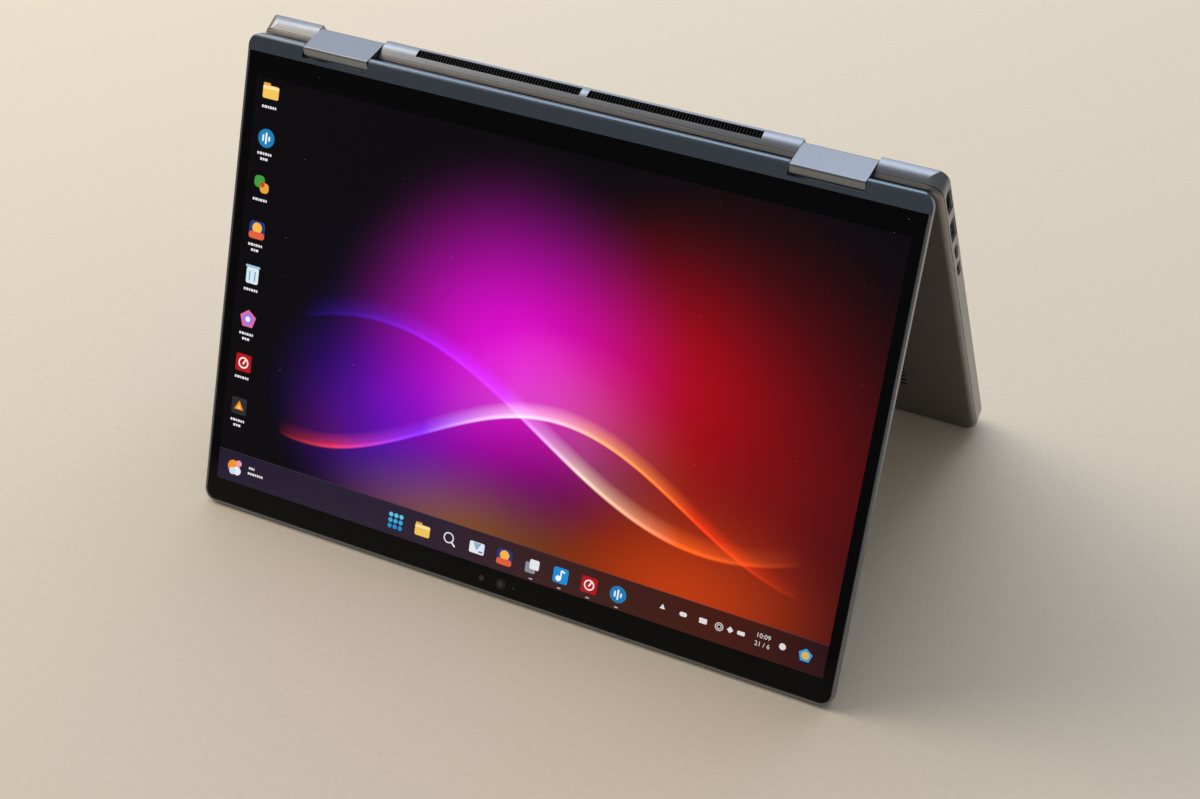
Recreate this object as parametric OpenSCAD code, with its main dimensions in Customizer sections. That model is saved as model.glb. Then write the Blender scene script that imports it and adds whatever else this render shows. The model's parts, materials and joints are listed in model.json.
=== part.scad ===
// Convertible laptop computer with a 14-inch screen, standing as a tent.
// The lid has turned past flat on a pair of double hinges, so its back faces the underside of the base.
// Base frame: x to the user's right, y to the rear, z up from the deck; its origin is on the base shaft.
// Lid frame: x to the user's right, y away from the hinge, z out of the glass; its origin is on the lid shaft.
// Link frame: z from the base shaft to the lid shaft, y to the rear when the computer is shut.

/* [Body] */
// Width of the computer
body_w = 313.7; // [300:0.1:340]
// Depth of the computer when shut, front edge to rear edge
body_d = 218.9; // [205:0.1:240]
// Thickness of the base without its feet
base_t = 10.4; // [10.4:0.1:13]
// Thickness of the lid
lid_t = 5; // [5:0.1:6]
// Air gap between the deck and the glass when shut
shut_gap = 0.7; // [0.5:0.1:1.2]
// How far the lid is open in this pose, in degrees from shut
open_angle = 310; // [300:1:325]
// Corner radius of the base, seen from above
base_corner_r = 7; // [5:0.5:12]
// Corner radius of the lid, seen from above
lid_corner_r = 6; // [4:0.5:9]
// Radius of the lower edge round the base
bottom_edge_r = 2.5; // [1.5:0.1:2.5]
// Radius of the base's rear upper edge
rear_edge_r = 1.6; // [1.5:0.1:2.8]
// Radius of the crowned rear face of the base
rear_crown_r = 12; // [12:0.5:40]
// Radius of the other edges of the deck
deck_edge_r = 0.6; // [0.3:0.1:1]
// Radius of the lid's back edge
lid_edge_r = 2.3; // [1.5:0.1:2.4]
// Radius of the rim beside the glass
rim_edge_r = 0.35; // [0.2:0.05:0.5]
// Wall thickness of the base
wall = 1.2; // [1:0.1:1.3]
// Thickness of the deck plate
deck_t = 1.2; // [1:0.1:1.2]
// Thickness of the bottom cover
cover_t = 1; // [0.8:0.1:1.2]
// Thickness of the lid's back
lid_back_t = 1; // [0.8:0.1:1.1]
// Width of the lid's rim
rim_w = 1.1; // [0.9:0.1:1.3]

/* [Hinges] */
// Distance between the two shafts of a hinge
shaft_gap = 9.5; // [9.4:0.1:10.2]
// Distance from a shaft to the rear edge
shaft_in = 2.5; // [2.4:0.1:2.6]
// Radius of a hinge shaft
shaft_r = 1.2; // [1:0.1:1.3]
// Radial clearance of a shaft in its bore
bore_clearance = 0.05; // [0.02:0.01:0.08]
// Width of a hinge link block
block_w = 31.9; // [26:0.1:36]
// Distance from the side of the body to the nearest face of a block
block_inset = 28.1; // [26:0.1:34]
// Distance from the base shaft to the block's inner face
block_in_base = 3.5; // [3:0.1:3.6]
// Distance from the lid shaft to the block's inner face
block_in_lid = 2.4; // [2.2:0.1:2.6]
// Distance from the base shaft to the block's lower end
block_end_base = 3.6; // [3.2:0.1:3.8]
// Edge radius of a block
block_edge_r = 0.9; // [0.6:0.1:1.2]
// Clearance round a block in its notches
block_clearance = 0.35; // [0.25:0.05:0.5]
// Solid end of the block beyond the tip of a shaft
block_blind = 4; // [2:0.5:8]

/* [Screen] */
// Width of the black border at the sides of the picture, to the lid's edge
side_bezel = 6.05; // [5:0.05:9]
// Border between the picture and the lid's front edge
front_bezel = 12.3; // [11:0.1:16]
// Depth of the metal strip between the glass and the hinge edge
strip_d = 8; // [7.8:0.1:9]
// Thickness of the cover glass
glass_t = 0.8; // [0.6:0.1:1]
// Thickness of the display panel
panel_t = 2.3; // [2:0.1:2.4]
// Width of the gasket between glass and rim
gasket_w = 0.45; // [0.3:0.05:0.6]
// Distance from the camera to the lid's front edge
camera_in = 6.1; // [5.5:0.1:7]
// Travel of the camera shutter
shutter_travel = 4.5; // [3:0.5:6]

/* [Vents] */
// Distance from the outer end of a rear vent to the hinge notch
vent_end = 16.65; // [8:0.05:30]
// Height of the rear vents
vent_h = 4; // [2.5:0.1:4]
// Width of the bridge between the rear vents
vent_bridge = 3.5; // [3:0.1:6]
// Distance from the deck down to the middle of the vents
vent_drop = 3.3; // [3.3:0.05:4]
// Distance between the ribs of a vent
rib_pitch = 1.42; // [1.3:0.02:1.8]
// Thickness of a rib
rib_t = 0.55; // [0.5:0.05:0.7]

/* [Keyboard] */
// Distance from the side of the body to the keyboard
keyboard_side = 17.35; // [17.35:0.05:24]
// Distance between the rows of full-height keys
row_pitch = 18.2; // [17:0.1:18.4]
// Distance from the function row to the next row
function_pitch = 11; // [10:0.1:12]
// Gap between neighbouring keys
key_gap = 2.9; // [2.4:0.1:3.4]
// Travel of a key
key_travel = 1.3; // [1:0.1:1.3]
// Distance from the rear edge of the body to the keyboard
keyboard_in = 27; // [26:0.1:30]
// Height of the keys above the floor of the well
key_top_drop = 0.1; // [0.05:0.05:0.3]
// Clearance round a key in its opening
key_clearance = 0.35; // [0.25:0.05:0.5]

/* [Touchpad] */
// Width of the touchpad
pad_w = 125; // [100:1:140]
// Distance from the keyboard to the touchpad
pad_gap = 5.4; // [5.4:0.1:16]
// Distance from the front edge of the body to the touchpad
pad_in = 6.5; // [6.2:0.1:9]

/* [Ports] */
// Distance from the rear edge to the middle of the display socket
hdmi_in = 16.5; // [15:0.1:20]
// Distance from the rear edge to the middle of the large USB socket on the left
usb_a_in = 37.5; // [36:0.1:42]
// Distance from the rear edge to the middle of the first small USB socket
usb_c_in = 55.2; // [53:0.1:58]
// Distance between the two small USB sockets
usb_c_pitch = 14.1; // [12:0.1:16]
// Distance from the rear edge to the middle of the large USB socket on the right
right_usb_in = 44; // [40:0.1:50]
// Distance from the rear edge to the middle of the headset jack
jack_in = 62; // [58:0.1:70]
// Radius of the headset jack's bore
jack_r = 1.78; // [1.7:0.01:1.9]
// Distance from the deck down to the middle of the sockets
port_drop = 4; // [3.9:0.05:4.1]

/* [Feet] */
// Height of the rubber feet
foot_h = 0.8; // [0.5:0.1:1.2]
// Length of the rear foot
rear_foot_w = 210; // [150:1:220]
// Length of a front foot
front_foot_w = 28; // [16:1:40]

/* [Hidden] */

$fn = 64;
eps = 0.01;

// Colours
metal = "#8d8884";
dark_metal = "#5d5a5a";
black = "#121214";
steel = "#b9bcc0";
green = "#1f4a38";

// Levels of the base, from the base shaft
half_w = body_w / 2;
lid_axis_in = lid_t / 2;
deck_z = shaft_gap - shut_gap - lid_axis_in;
bottom_z = deck_z - base_t;
seam_z = bottom_z + bottom_edge_r;
floor_z = bottom_z + cover_t;
roof_z = deck_z - deck_t;
rear_y = shaft_in;
front_y = shaft_in - body_d;
reach = body_d - shaft_in;

// Pose of the link and the lid
link_angle = open_angle / 2;
lid_axis = [shaft_gap * sin(link_angle), shaft_gap * cos(link_angle)];
lid_way = [-cos(open_angle), sin(open_angle)];
lid_out = [-sin(open_angle), -cos(open_angle)];

// The two edges that stand on the table: centres of their rounded corners in the base frame
base_toe = [front_y + bottom_edge_r, bottom_z + bottom_edge_r];
lid_toe = lid_axis + (reach - lid_edge_r) * lid_way + (lid_edge_r - lid_axis_in) * lid_out;
toe_step = lid_toe - base_toe;
base_tilt = -atan2(toe_step.y, toe_step.x) + asin((lid_edge_r - bottom_edge_r) / norm(toe_step));

function turned(p, a) = [p.x * cos(a) - p.y * sin(a), p.x * sin(a) + p.y * cos(a)];
toe_height = turned(base_toe, base_tilt).y;
stand_z = bottom_edge_r - toe_height;
rear_most = turned([front_y, deck_z], base_tilt).x;
front_most = turned(lid_axis + reach * lid_way + lid_axis_in * lid_out, base_tilt).x;
stand_y = (rear_most + front_most) / 2;

// Hinges
block_x = half_w - block_inset - block_w / 2;
base_sweep_r = norm([block_in_base - block_edge_r, block_end_base - block_edge_r]) + block_edge_r;
lid_sweep_r = norm([shaft_in - block_edge_r, lid_axis_in - block_edge_r]) + block_edge_r;
notch_w = block_w + 2 * block_clearance;
shaft_len = block_w - block_blind;
bracket_x = block_x + notch_w / 2 + wall + 0.2;
bracket_w = 6;
bracket_end = -19.5;
leaf_w = 12;
knuckle_r = lid_axis_in - 0.6;

// Rear vents
vent_out = block_x - notch_w / 2 - vent_end;
vent_len = vent_out - vent_bridge / 2;

// Screen
picture_w = body_w - 2 * side_bezel;
glass_end = strip_d - shaft_in;
glass_edge = rim_w + gasket_w + 0.05;
glass_z = lid_axis_in - glass_t;
lid_floor_z = lid_back_t - lid_axis_in;
panel_y = [glass_end + 1.5, reach - front_bezel + 1.5];

// Keyboard
keyboard_w = body_w - 2 * keyboard_side;
key_unit = keyboard_w / 15;
keyboard_y = rear_y - keyboard_in;
keyboard_d = function_pitch + 5 * row_pitch;
well_margin = 1.5;
key_top_z = deck_z - key_top_drop;
key_cap_t = 1.3;
frame_top_z = deck_z - 0.9;
frame_t = 1.1;
plate_t = 0.5;
under_key_gap = 0.9;
plate_z = key_top_z - key_cap_t - key_travel - under_key_gap - plate_t;
plate_margin = [1, 1.6];
plate_rim_w = 1;
pad_d = body_d - keyboard_in - keyboard_d - pad_gap - pad_in;

// Inside of the base
part_gap = 0.15;
groove = [0.5, 0.4];
pipe_t = 1.4;
fan_h = 3.8;
fan_r = 24;
fan_out = vent_out - 5.85;
fan_x = fan_out - fan_r;
fan_y = -20 - fan_r;
fan_pin_r = 1;
fins_y = [-11.2, -1];
board_z = floor_z + 1.5;
board_t = 1;
board_top = board_z + board_t;
board_w = body_w - 21.7;
board_rear_y = -22;
board_side_y = -38;
board_front_y = -114;
fan_room = 3;
board_neck = fan_x - fan_r - fan_room - 1;
board_hollow_y = fan_y - fan_r - fan_room - 1;
battery_y = [front_y + 10.4, board_front_y - 4];
battery_w = 200;
speaker_x = [battery_w / 2 + 6, half_w - 12.85];
speaker_y = [front_y + 24.4, board_front_y - 14];
speaker_rim = 5;
port_z = deck_z - port_drop;
rear_screw_x = block_x - notch_w / 2 - 8.5;
screws = [for (side = [-1, 1]) each [[side * rear_screw_x, -7.5], [side * (half_w - 27.15), front_y + 21.8],
    [side * (pad_w / 2 + 12.5), front_y + 4.6]]];

// ---------- placing ----------

module in_base() {
    translate([0, stand_y, stand_z]) rotate([base_tilt, 0, 180]) children();
}

module in_link() {
    in_base() rotate([-link_angle, 0, 0]) children();
}

module in_lid() {
    in_base() translate([0, lid_axis.x, lid_axis.y]) rotate([180 - open_angle, 0, 0]) children();
}

// Draws its children on the user's right (side = 1) or left (side = -1)
module on_side(side) {
    mirror([side < 0 ? 1 : 0, 0, 0]) children();
}

// ---------- shapes ----------

// A rectangle from lo to hi with its own radius at each corner, anticlockwise from the lower left
module corner_rect(lo, hi, r) {
    polygon([[lo.x + r[0], lo.y], [hi.x - r[1], lo.y], [hi.x, lo.y + r[1]], [hi.x, hi.y - r[2]],
        [hi.x - r[2], hi.y], [lo.x + r[3], hi.y], [lo.x, hi.y - r[3]], [lo.x, lo.y + r[0]]]);
    translate([lo.x + r[0], lo.y + r[0]]) circle(r[0]);
    translate([hi.x - r[1], lo.y + r[1]]) circle(r[1]);
    translate([hi.x - r[2], hi.y - r[2]]) circle(r[2]);
    translate([lo.x + r[3], hi.y - r[3]]) circle(r[3]);
}

module along_x(len) {
    rotate([90, 0, 90]) linear_extrude(len, center = true) children();
}

module along_y(len) {
    rotate([90, 0, 0]) linear_extrude(len, center = true) children();
}

// A box given by two opposite corners
module span(lo, hi) {
    translate(lo) cube(hi - lo);
}

// A cylinder along x from x0 to x1
module rod(x0, x1, r) {
    translate([x0, 0, 0]) rotate([0, 90, 0]) cylinder(x1 - x0, r, r);
}

// A flat plate with small flats on its corners
module soft_plate(lo, hi, t, r) {
    translate([0, 0, lo.z]) linear_extrude(t)
        polygon([[lo.x + r, lo.y], [hi.x - r, lo.y], [hi.x, lo.y + r], [hi.x, hi.y - r],
            [hi.x - r, hi.y], [lo.x + r, hi.y], [lo.x, hi.y - r], [lo.x, lo.y + r]]);
}

// A slab with rounded plan corners whose lower and upper edges are rounded all the way round
module round_slab(lo, hi, plan_r, low_r, top_r) {
    mid = (lo + hi) / 2;
    edge_r = [low_r, low_r, top_r, top_r];
    translate([mid.x, 0, 0]) along_x(hi.x - lo.x - 2 * plan_r) corner_rect([lo.y, lo.z], [hi.y, hi.z], edge_r);
    translate([0, mid.y, 0]) along_y(hi.y - lo.y - 2 * plan_r) corner_rect([lo.x, lo.z], [hi.x, hi.z], edge_r);
    for (x = [lo.x + plan_r, hi.x - plan_r], y = [lo.y + plan_r, hi.y - plan_r])
        translate([x, y, 0]) rotate_extrude() intersection() {
            corner_rect([-plan_r, lo.z], [plan_r, hi.z], edge_r);
            translate([0, lo.z]) square([plan_r, hi.z - lo.z]);
        }
}

// ---------- base ----------

// What the rear face keeps of the base, seen from the side: a crowned face and a rounded upper edge
module rear_profile() {
    intersection() {
        corner_rect([front_y - 5, bottom_z - 5], [rear_y, deck_z], [1, 1, rear_edge_r, 1]);
        union() {
            translate([rear_y - rear_crown_r, (bottom_z + deck_z) / 2]) circle(rear_crown_r);
            translate([front_y - 5, bottom_z - 5]) square([body_d + 5 - rear_crown_r, base_t + 10]);
        }
    }
}

// Outside of the closed base, with all its rounded edges
module base_form() {
    intersection() {
        round_slab([-half_w, front_y, bottom_z], [half_w, rear_y, deck_z], base_corner_r, bottom_edge_r, deck_edge_r);
        along_x(body_w) rear_profile();
    }
}

// Space for both hinge blocks at the rear edge, larger by grow on every side
module base_notches(grow) {
    for (side = [-1, 1])
        span([side * block_x - notch_w / 2 - grow, -base_sweep_r - block_clearance - grow, bottom_z - 1],
            [side * block_x + notch_w / 2 + grow, rear_y + 1, deck_z + 1]);
}

// Inside of the base between two levels; the hinge notches keep their own walls
module base_inside(lo, hi) {
    difference() {
        translate([0, 0, lo]) linear_extrude(hi - lo)
            corner_rect([wall - half_w, front_y + wall], [half_w - wall, rear_y - wall],
                (base_corner_r - wall) * [1, 1, 1, 1]);
        base_notches(wall);
    }
}

// A hole of the drawn shape through the side wall, its middle at a distance in from the rear edge
module socket_hole(side, in) {
    translate([side * half_w, rear_y - in, port_z]) along_x(8) children();
}

// The two rear vents from y0 to y1, smaller by shrink all round, and lower by lap at the foot and the ends
module vent_windows(shrink, y0, y1, lap = 0) {
    for (side = [-1, 1]) on_side(side)
        span([vent_bridge / 2 + shrink - lap, y0, deck_z - vent_drop - vent_h / 2 + shrink - lap],
            [vent_out - shrink + lap, y1, deck_z - vent_drop + vent_h / 2 - shrink]);
}

module screw_post(p) {
    translate([p.x, p.y, floor_z]) cylinder(roof_z - floor_z + eps, 2.3, 2.3);
}

module top_case() {
    color(metal) in_base() difference() {
        union() {
            difference() {
                intersection() {
                    base_form();
                    span([-half_w - 1, front_y - 1, seam_z], [half_w + 1, rear_y + 1, deck_z + 1]);
                }
                base_inside(seam_z - 1, roof_z);
            }
            for (p = screws) screw_post(p);
        }
        base_notches(0);
        soft_plate([-keyboard_w / 2 - well_margin, keyboard_y - keyboard_d - well_margin, roof_z - 1],
            [keyboard_w / 2 + well_margin, keyboard_y + well_margin], 5, 2);
        soft_plate([-pad_w / 2 - 0.3, front_y + pad_in - 0.3, roof_z - 1],
            [pad_w / 2 + 0.3, front_y + pad_in + pad_d + 0.3], 5, 2);
        vent_windows(0, 0, rear_y + 1);
        for (p = screws) translate([p.x, p.y, floor_z - 1]) cylinder(5.5, screw_r + 0.05, screw_r + 0.05);
        for (side = [-1, 1]) on_side(side) rod(block_x, bracket_x + 1, shaft_r + 0.1);
        socket_hole(-1, hdmi_in) hdmi_face(part_gap);
        socket_hole(-1, usb_a_in) usb_a_face(part_gap);
        for (i = [0, 1]) socket_hole(-1, usb_c_in + i * usb_c_pitch) usb_c_face(part_gap);
        socket_hole(1, right_usb_in) usb_a_face(part_gap);
        socket_hole(1, jack_in) circle(jack_body_r + part_gap);
    }
}

intake_rows = 5;
intake_slot = [1.5, 6.5];
intake_pitch = [3.2, 8.4];
intake_count = floor((2 * fan_r - 2) / intake_pitch.x);
speaker_slots = 9;
speaker_slot = [14, 1.6];
speaker_pitch = 4;

// Intake slots under one fan, centred on it
module intake_slots() {
    for (i = [0 : intake_count - 1], j = [0 : intake_rows - 1])
        translate([(i - (intake_count - 1) / 2) * intake_pitch.x, (j - (intake_rows - 1) / 2) * intake_pitch.y])
            square(intake_slot, center = true);
}

module bottom_cover() {
    color(dark_metal) in_base() difference() {
        intersection() {
            base_form();
            span([-half_w - 1, front_y - 1, bottom_z - 1], [half_w + 1, rear_y + 1, seam_z]);
        }
        base_inside(floor_z, seam_z + 1);
        base_notches(0);
        seam_groove();
        translate([0, 0, bottom_z - 1]) linear_extrude(cover_t + 2) for (side = [-1, 1]) {
            translate([side * fan_x, fan_y]) intake_slots();
            for (i = [0 : speaker_slots - 1])
                translate([side * (speaker_x[0] + speaker_rim + speaker_slot.x / 2),
                    speaker_y[0] + 10 + i * speaker_pitch]) square(speaker_slot, center = true);
        }
        for (p = screws) translate([p.x, p.y, bottom_z - 1]) {
            cylinder(cover_t + 2, screw_r + 0.1, screw_r + 0.1);
            cylinder(1 + screw_head_t, screw_head_r + 0.15, screw_head_r + 0.15);
        }
    }
}

// Shadow line between the bottom cover and the top case
module seam_groove() {
    translate([0, 0, seam_z - groove.y]) linear_extrude(groove.y + 1) difference() {
        square(3 * body_w, center = true);
        corner_rect([groove.x - half_w, front_y + groove.x], [half_w - groove.x, rear_y - groove.x],
            (base_corner_r - groove.x) * [1, 1, 1, 1]);
    }
}

screw_r = 1;
screw_head_r = 1.9;
screw_head_t = 0.5;

module bottom_screws() {
    color(steel) in_base() for (p = screws) translate([p.x, p.y, bottom_z]) difference() {
        union() {
            cylinder(screw_head_t, screw_head_r, screw_head_r);
            cylinder(5.2, screw_r, screw_r);
        }
        translate([0, 0, -eps]) cylinder(0.4, 0.8, 0.8, $fn = 6);
    }
}

// Outline of a foot with its middle at x, y
module foot(x, y, size) {
    r = size.y / 2 - 0.5;
    translate([x, y]) corner_rect(-size / 2, size / 2, [r, r, r, r]);
}

module rubber_feet() {
    color(black) in_base() {
        translate([0, 0, bottom_z - foot_h]) linear_extrude(foot_h) {
            foot(0, rear_y - 18, [rear_foot_w, 7]);
            for (side = [-1, 1]) foot(side * (half_w - 60.85), front_y + 16.4, [front_foot_w, 6]);
        }
    }
}

vent_ribs = floor(vent_len / rib_pitch) - 1;

module rear_vent_grilles() {
    slot_h = vent_h - 0.8;
    color(black) in_base() difference() {
        union() {
            vent_windows(0.1, 0.4, rear_y - 0.9);
            vent_windows(0.1, 0.2, rear_y - wall, 0.8);
        }
        for (side = [-1, 1], i = [0 : vent_ribs])
            translate([side * (vent_bridge + vent_len) / 2 + (i - vent_ribs / 2) * rib_pitch, 1,
                deck_z - vent_drop]) cube([rib_pitch - rib_t, 6, slot_h], center = true);
    }
}

// ---------- keyboard ----------

number_row = [1, 1, 1, 1, 1, 1, 1, 1, 1, 1, 1, 1, 1, 2];
upper_row = [1.5, 1, 1, 1, 1, 1, 1, 1, 1, 1, 1, 1, 1, 1.5];
home_row = [1.75, 1, 1, 1, 1, 1, 1, 1, 1, 1, 1, 1, 2.25];
lower_row = [2.25, 1, 1, 1, 1, 1, 1, 1, 1, 1, 1, 2.75];
left_controls = [1.25, 1, 1, 1];
space_units = 5.75;
right_controls = [1, 1];
function sum_to(v, n) = n <= 0 ? 0 : v[n - 1] + sum_to(v, n - 1);
space_start = sum_to(left_controls, 4);
right_start = space_start + space_units;
arrow_start = right_start + sum_to(right_controls, 2);

// Lower corner of row r, counted from the function row, in the base frame
function row_y(r) = keyboard_y - function_pitch - r * row_pitch;

// One key opening, larger than its key by grow on every side
module key_cell(unit, width, y, h, grow) {
    x0 = -keyboard_w / 2 + unit * key_unit;
    translate([x0 + key_gap / 2 - grow, y + key_gap / 2 - grow])
        square([width * key_unit - key_gap + 2 * grow, h - key_gap + 2 * grow]);
}

module row_cells(units, start, y, h, grow) {
    for (i = [0 : len(units) - 1]) key_cell(start + sum_to(units, i), units[i], y, h, grow);
}

module arrow_cells(grow) {
    y = row_y(5);
    half = (row_pitch + key_gap) / 2 - 0.2;
    for (i = [0, 2]) key_cell(arrow_start + i, 1, y, half, grow);
    key_cell(arrow_start + 1, 1, y, half, grow);
    key_cell(arrow_start + 1, 1, y + row_pitch - half, half, grow);
}

module all_cells(grow) {
    row_cells([for (i = [0 : 14]) 1], 0, row_y(0), function_pitch, grow);
    row_cells(number_row, 0, row_y(1), row_pitch, grow);
    row_cells(upper_row, 0, row_y(2), row_pitch, grow);
    row_cells(home_row, 0, row_y(3), row_pitch, grow);
    row_cells(lower_row, 0, row_y(4), row_pitch, grow);
    row_cells(left_controls, 0, row_y(5), row_pitch, grow);
    key_cell(space_start, space_units, row_y(5), row_pitch, grow);
    row_cells(right_controls, right_start, row_y(5), row_pitch, grow);
    arrow_cells(grow);
}

// Caps of the drawn cells, with a narrower stem under each
module keys(stem_in) {
    translate([0, 0, key_top_z - key_cap_t]) linear_extrude(key_cap_t) children(0);
    translate([0, 0, key_top_z - key_cap_t - 0.6]) linear_extrude(0.6) children(1);
}

module keyboard_frame() {
    color(black) in_base() difference() {
        soft_plate([-keyboard_w / 2 - well_margin + part_gap, keyboard_y - keyboard_d - well_margin + part_gap,
            frame_top_z - frame_t],
            [keyboard_w / 2 + well_margin - part_gap, keyboard_y + well_margin - part_gap], frame_t, 2);
        translate([0, 0, frame_top_z - frame_t - 1]) linear_extrude(frame_t + 2) all_cells(key_clearance);
    }
}

module keyboard_backplate() {
    lo = [-keyboard_w / 2 - well_margin, keyboard_y - keyboard_d - well_margin] - plate_margin;
    hi = [keyboard_w / 2 + well_margin, keyboard_y + well_margin] + plate_margin;
    color(steel) in_base() difference() {
        soft_plate([lo.x, lo.y, plate_z], hi, roof_z - plate_z, 2);
        soft_plate([lo.x + plate_rim_w, lo.y + plate_rim_w, plate_z + plate_t],
            hi - [plate_rim_w, plate_rim_w], 5, 2);
    }
}

module function_keys() {
    cells = [for (i = [0 : 13]) 1];
    color(black) in_base() keys() {
        row_cells(cells, 0, row_y(0), function_pitch, 0);
        row_cells(cells, 0, row_y(0), function_pitch, -1.5);
    }
}

module power_key() {
    color(black) in_base() keys() {
        key_cell(14, 1, row_y(0), function_pitch, 0);
        key_cell(14, 1, row_y(0), function_pitch, -1.5);
    }
}

module letter_row(units, r) {
    color(black) in_base() keys() {
        row_cells(units, 0, row_y(r), row_pitch, 0);
        row_cells(units, 0, row_y(r), row_pitch, -3);
    }
}

module number_keys() { letter_row(number_row, 1); }
module upper_letter_keys() { letter_row(upper_row, 2); }
module home_letter_keys() { letter_row(home_row, 3); }
module lower_letter_keys() { letter_row(lower_row, 4); }

module control_cells(grow) {
    row_cells(left_controls, 0, row_y(5), row_pitch, grow);
    row_cells(right_controls, right_start, row_y(5), row_pitch, grow);
}

module control_keys() {
    color(black) in_base() keys() {
        control_cells(0);
        control_cells(-3);
    }
}

module space_bar() {
    color(black) in_base() keys() {
        key_cell(space_start, space_units, row_y(5), row_pitch, 0);
        key_cell(space_start, space_units, row_y(5), row_pitch, -3);
    }
}

module arrow_keys() {
    color(black) in_base() keys() {
        arrow_cells(0);
        arrow_cells(-1.5);
    }
}

// ---------- touchpad ----------

pad_t = 1.5;
pad_drop = 0.15;
pad_z = deck_z - pad_drop - pad_t;
pad_frame_z = pad_z - 0.95;

module touchpad() {
    color(metal) in_base() soft_plate([-pad_w / 2, front_y + pad_in, pad_z],
        [pad_w / 2, front_y + pad_in + pad_d], pad_t, 2);
}

module touchpad_frame() {
    lo = [-pad_w / 2 - 2.5, front_y + pad_in - 2.4, pad_frame_z - 0.6];
    hi = [pad_w / 2 + 2.5, front_y + pad_in + pad_d + 1.8];
    color(steel) in_base() difference() {
        soft_plate(lo, hi, roof_z - lo.z, 2);
        soft_plate([lo.x + 1, lo.y + 1, lo.z + 0.6], [hi.x - 1, hi.y - 1], 5, 2);
    }
}

// ---------- electronics and cooling ----------

module mainboard() {
    fan_side = fan_out + fan_room;
    color(green) in_base() {
        translate([0, 0, board_z]) linear_extrude(board_t) {
            for (side = [-1, 1]) on_side(side)
                polygon([[0, board_front_y], [board_w / 2, board_front_y], [board_w / 2, board_side_y],
                    [fan_side, board_side_y], [fan_side, board_hollow_y], [board_neck, board_hollow_y],
                    [board_neck, board_rear_y], [0, board_rear_y]]);
        }
        for (x = [board_neck - 8, fan_side + 7, board_w / 2 - 10], side = [-1, 1], y = [6, 36])
            translate([side * x, board_front_y + y, floor_z]) cylinder(board_z - floor_z, 2, 2);
    }
}

processor_size = [26, 24];
processor_y = board_hollow_y - 2 - processor_size.y / 2;
pipe_z = floor_z + fan_h;

module processor() {
    color(dark_metal) in_base() translate([0, processor_y, board_top])
        linear_extrude(pipe_z - board_top) square(processor_size, center = true);
}

module heat_pipe() {
    rear = fins_y[0] - 0.2;
    color("#b06a3c") in_base() translate([0, 0, pipe_z]) linear_extrude(pipe_t) {
        translate([1 - fan_out, rear - 7]) square([2 * fan_out - 2, 7]);
        translate([-4, processor_y]) square([8, rear - processor_y]);
        translate([0, processor_y]) square(processor_size + [4, 2], center = true);
    }
}

fin_t = 0.4;
fin_pitch = 1.35;

module heat_fins() {
    fins_w = 2 * fan_r - 2;
    last = floor((fins_w - fin_t) / fin_pitch);
    color("#b9a08c") in_base() for (side = [-1, 1])
        translate([side * fan_x - last * fin_pitch / 2, (fins_y[0] + fins_y[1]) / 2, floor_z])
            along_y(fins_y[1] - fins_y[0]) {
                square([last * fin_pitch + fin_t, 0.5]);
                for (i = [0 : last]) translate([i * fin_pitch, 0]) square([fin_t, roof_z - 0.6 - floor_z]);
            }
}

fan_skin = 0.5;
fan_eye_r = fan_r - 10;

module fan_housing(side) {
    outlet = fins_y[0] - 0.2 - fan_y;
    color(dark_metal) in_base() translate([side * fan_x, fan_y, floor_z]) {
        difference() {
            linear_extrude(fan_h) {
                circle(fan_r);
                translate([-fan_r, 0]) square([2 * fan_r, outlet]);
            }
            translate([0, 0, fan_skin]) linear_extrude(fan_h - 2 * fan_skin) {
                circle(fan_r - 1);
                translate([1 - fan_r, 0]) square([2 * fan_r - 2, outlet + 1]);
            }
            translate([0, 0, fan_h - 1]) cylinder(2, fan_eye_r, fan_eye_r);
            translate([0, 0, -1]) linear_extrude(2) difference() {
                circle(fan_eye_r);
                circle(5);
                for (a = [0 : 120 : 240]) rotate(a) translate([0, -1]) square([fan_r, 2]);
            }
        }
        cylinder(fan_h - 1.7, fan_pin_r, fan_pin_r);
    }
}

module fan_housing_left() { fan_housing(-1); }
module fan_housing_right() { fan_housing(1); }

blade_count = 31;

hub_r = fan_r / 3;
rotor_z = fan_skin + 0.3;

module fan_rotor(side) {
    rotor_h = fan_h - 2 * rotor_z;
    color(black) in_base() translate([side * fan_x, fan_y, floor_z + rotor_z]) difference() {
        union() {
            cylinder(rotor_h, hub_r, hub_r);
            linear_extrude(rotor_h - 0.2) for (i = [0 : blade_count - 1])
                rotate(i * 360 / blade_count) translate([hub_r - 1, 0]) rotate(-14) square([fan_eye_r + 0.5, 0.5]);
        }
        translate([0, 0, -1]) cylinder(rotor_h + 0.4, fan_pin_r + bore_clearance, fan_pin_r + bore_clearance);
    }
}

module fan_rotor_left() { fan_rotor(-1); }
module fan_rotor_right() { fan_rotor(1); }

module battery() {
    cells = 4;
    cell_w = battery_w / cells;
    cell_h = 4.4;
    tray_h = 3;
    color(black) in_base() {
        for (i = [0 : cells - 1])
            span([-battery_w / 2 + i * cell_w + 0.6, battery_y[0] + 1, floor_z],
                [-battery_w / 2 + (i + 1) * cell_w - 0.6, battery_y[1] - 6, floor_z + cell_h]);
        span([-battery_w / 2, battery_y[1] - 6.5, floor_z], [battery_w / 2, battery_y[1], floor_z + tray_h]);
        span([-battery_w / 2, battery_y[0], floor_z], [battery_w / 2, battery_y[0] + 1.5, floor_z + tray_h]);
    }
}

speaker_h = 4.2;

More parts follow.
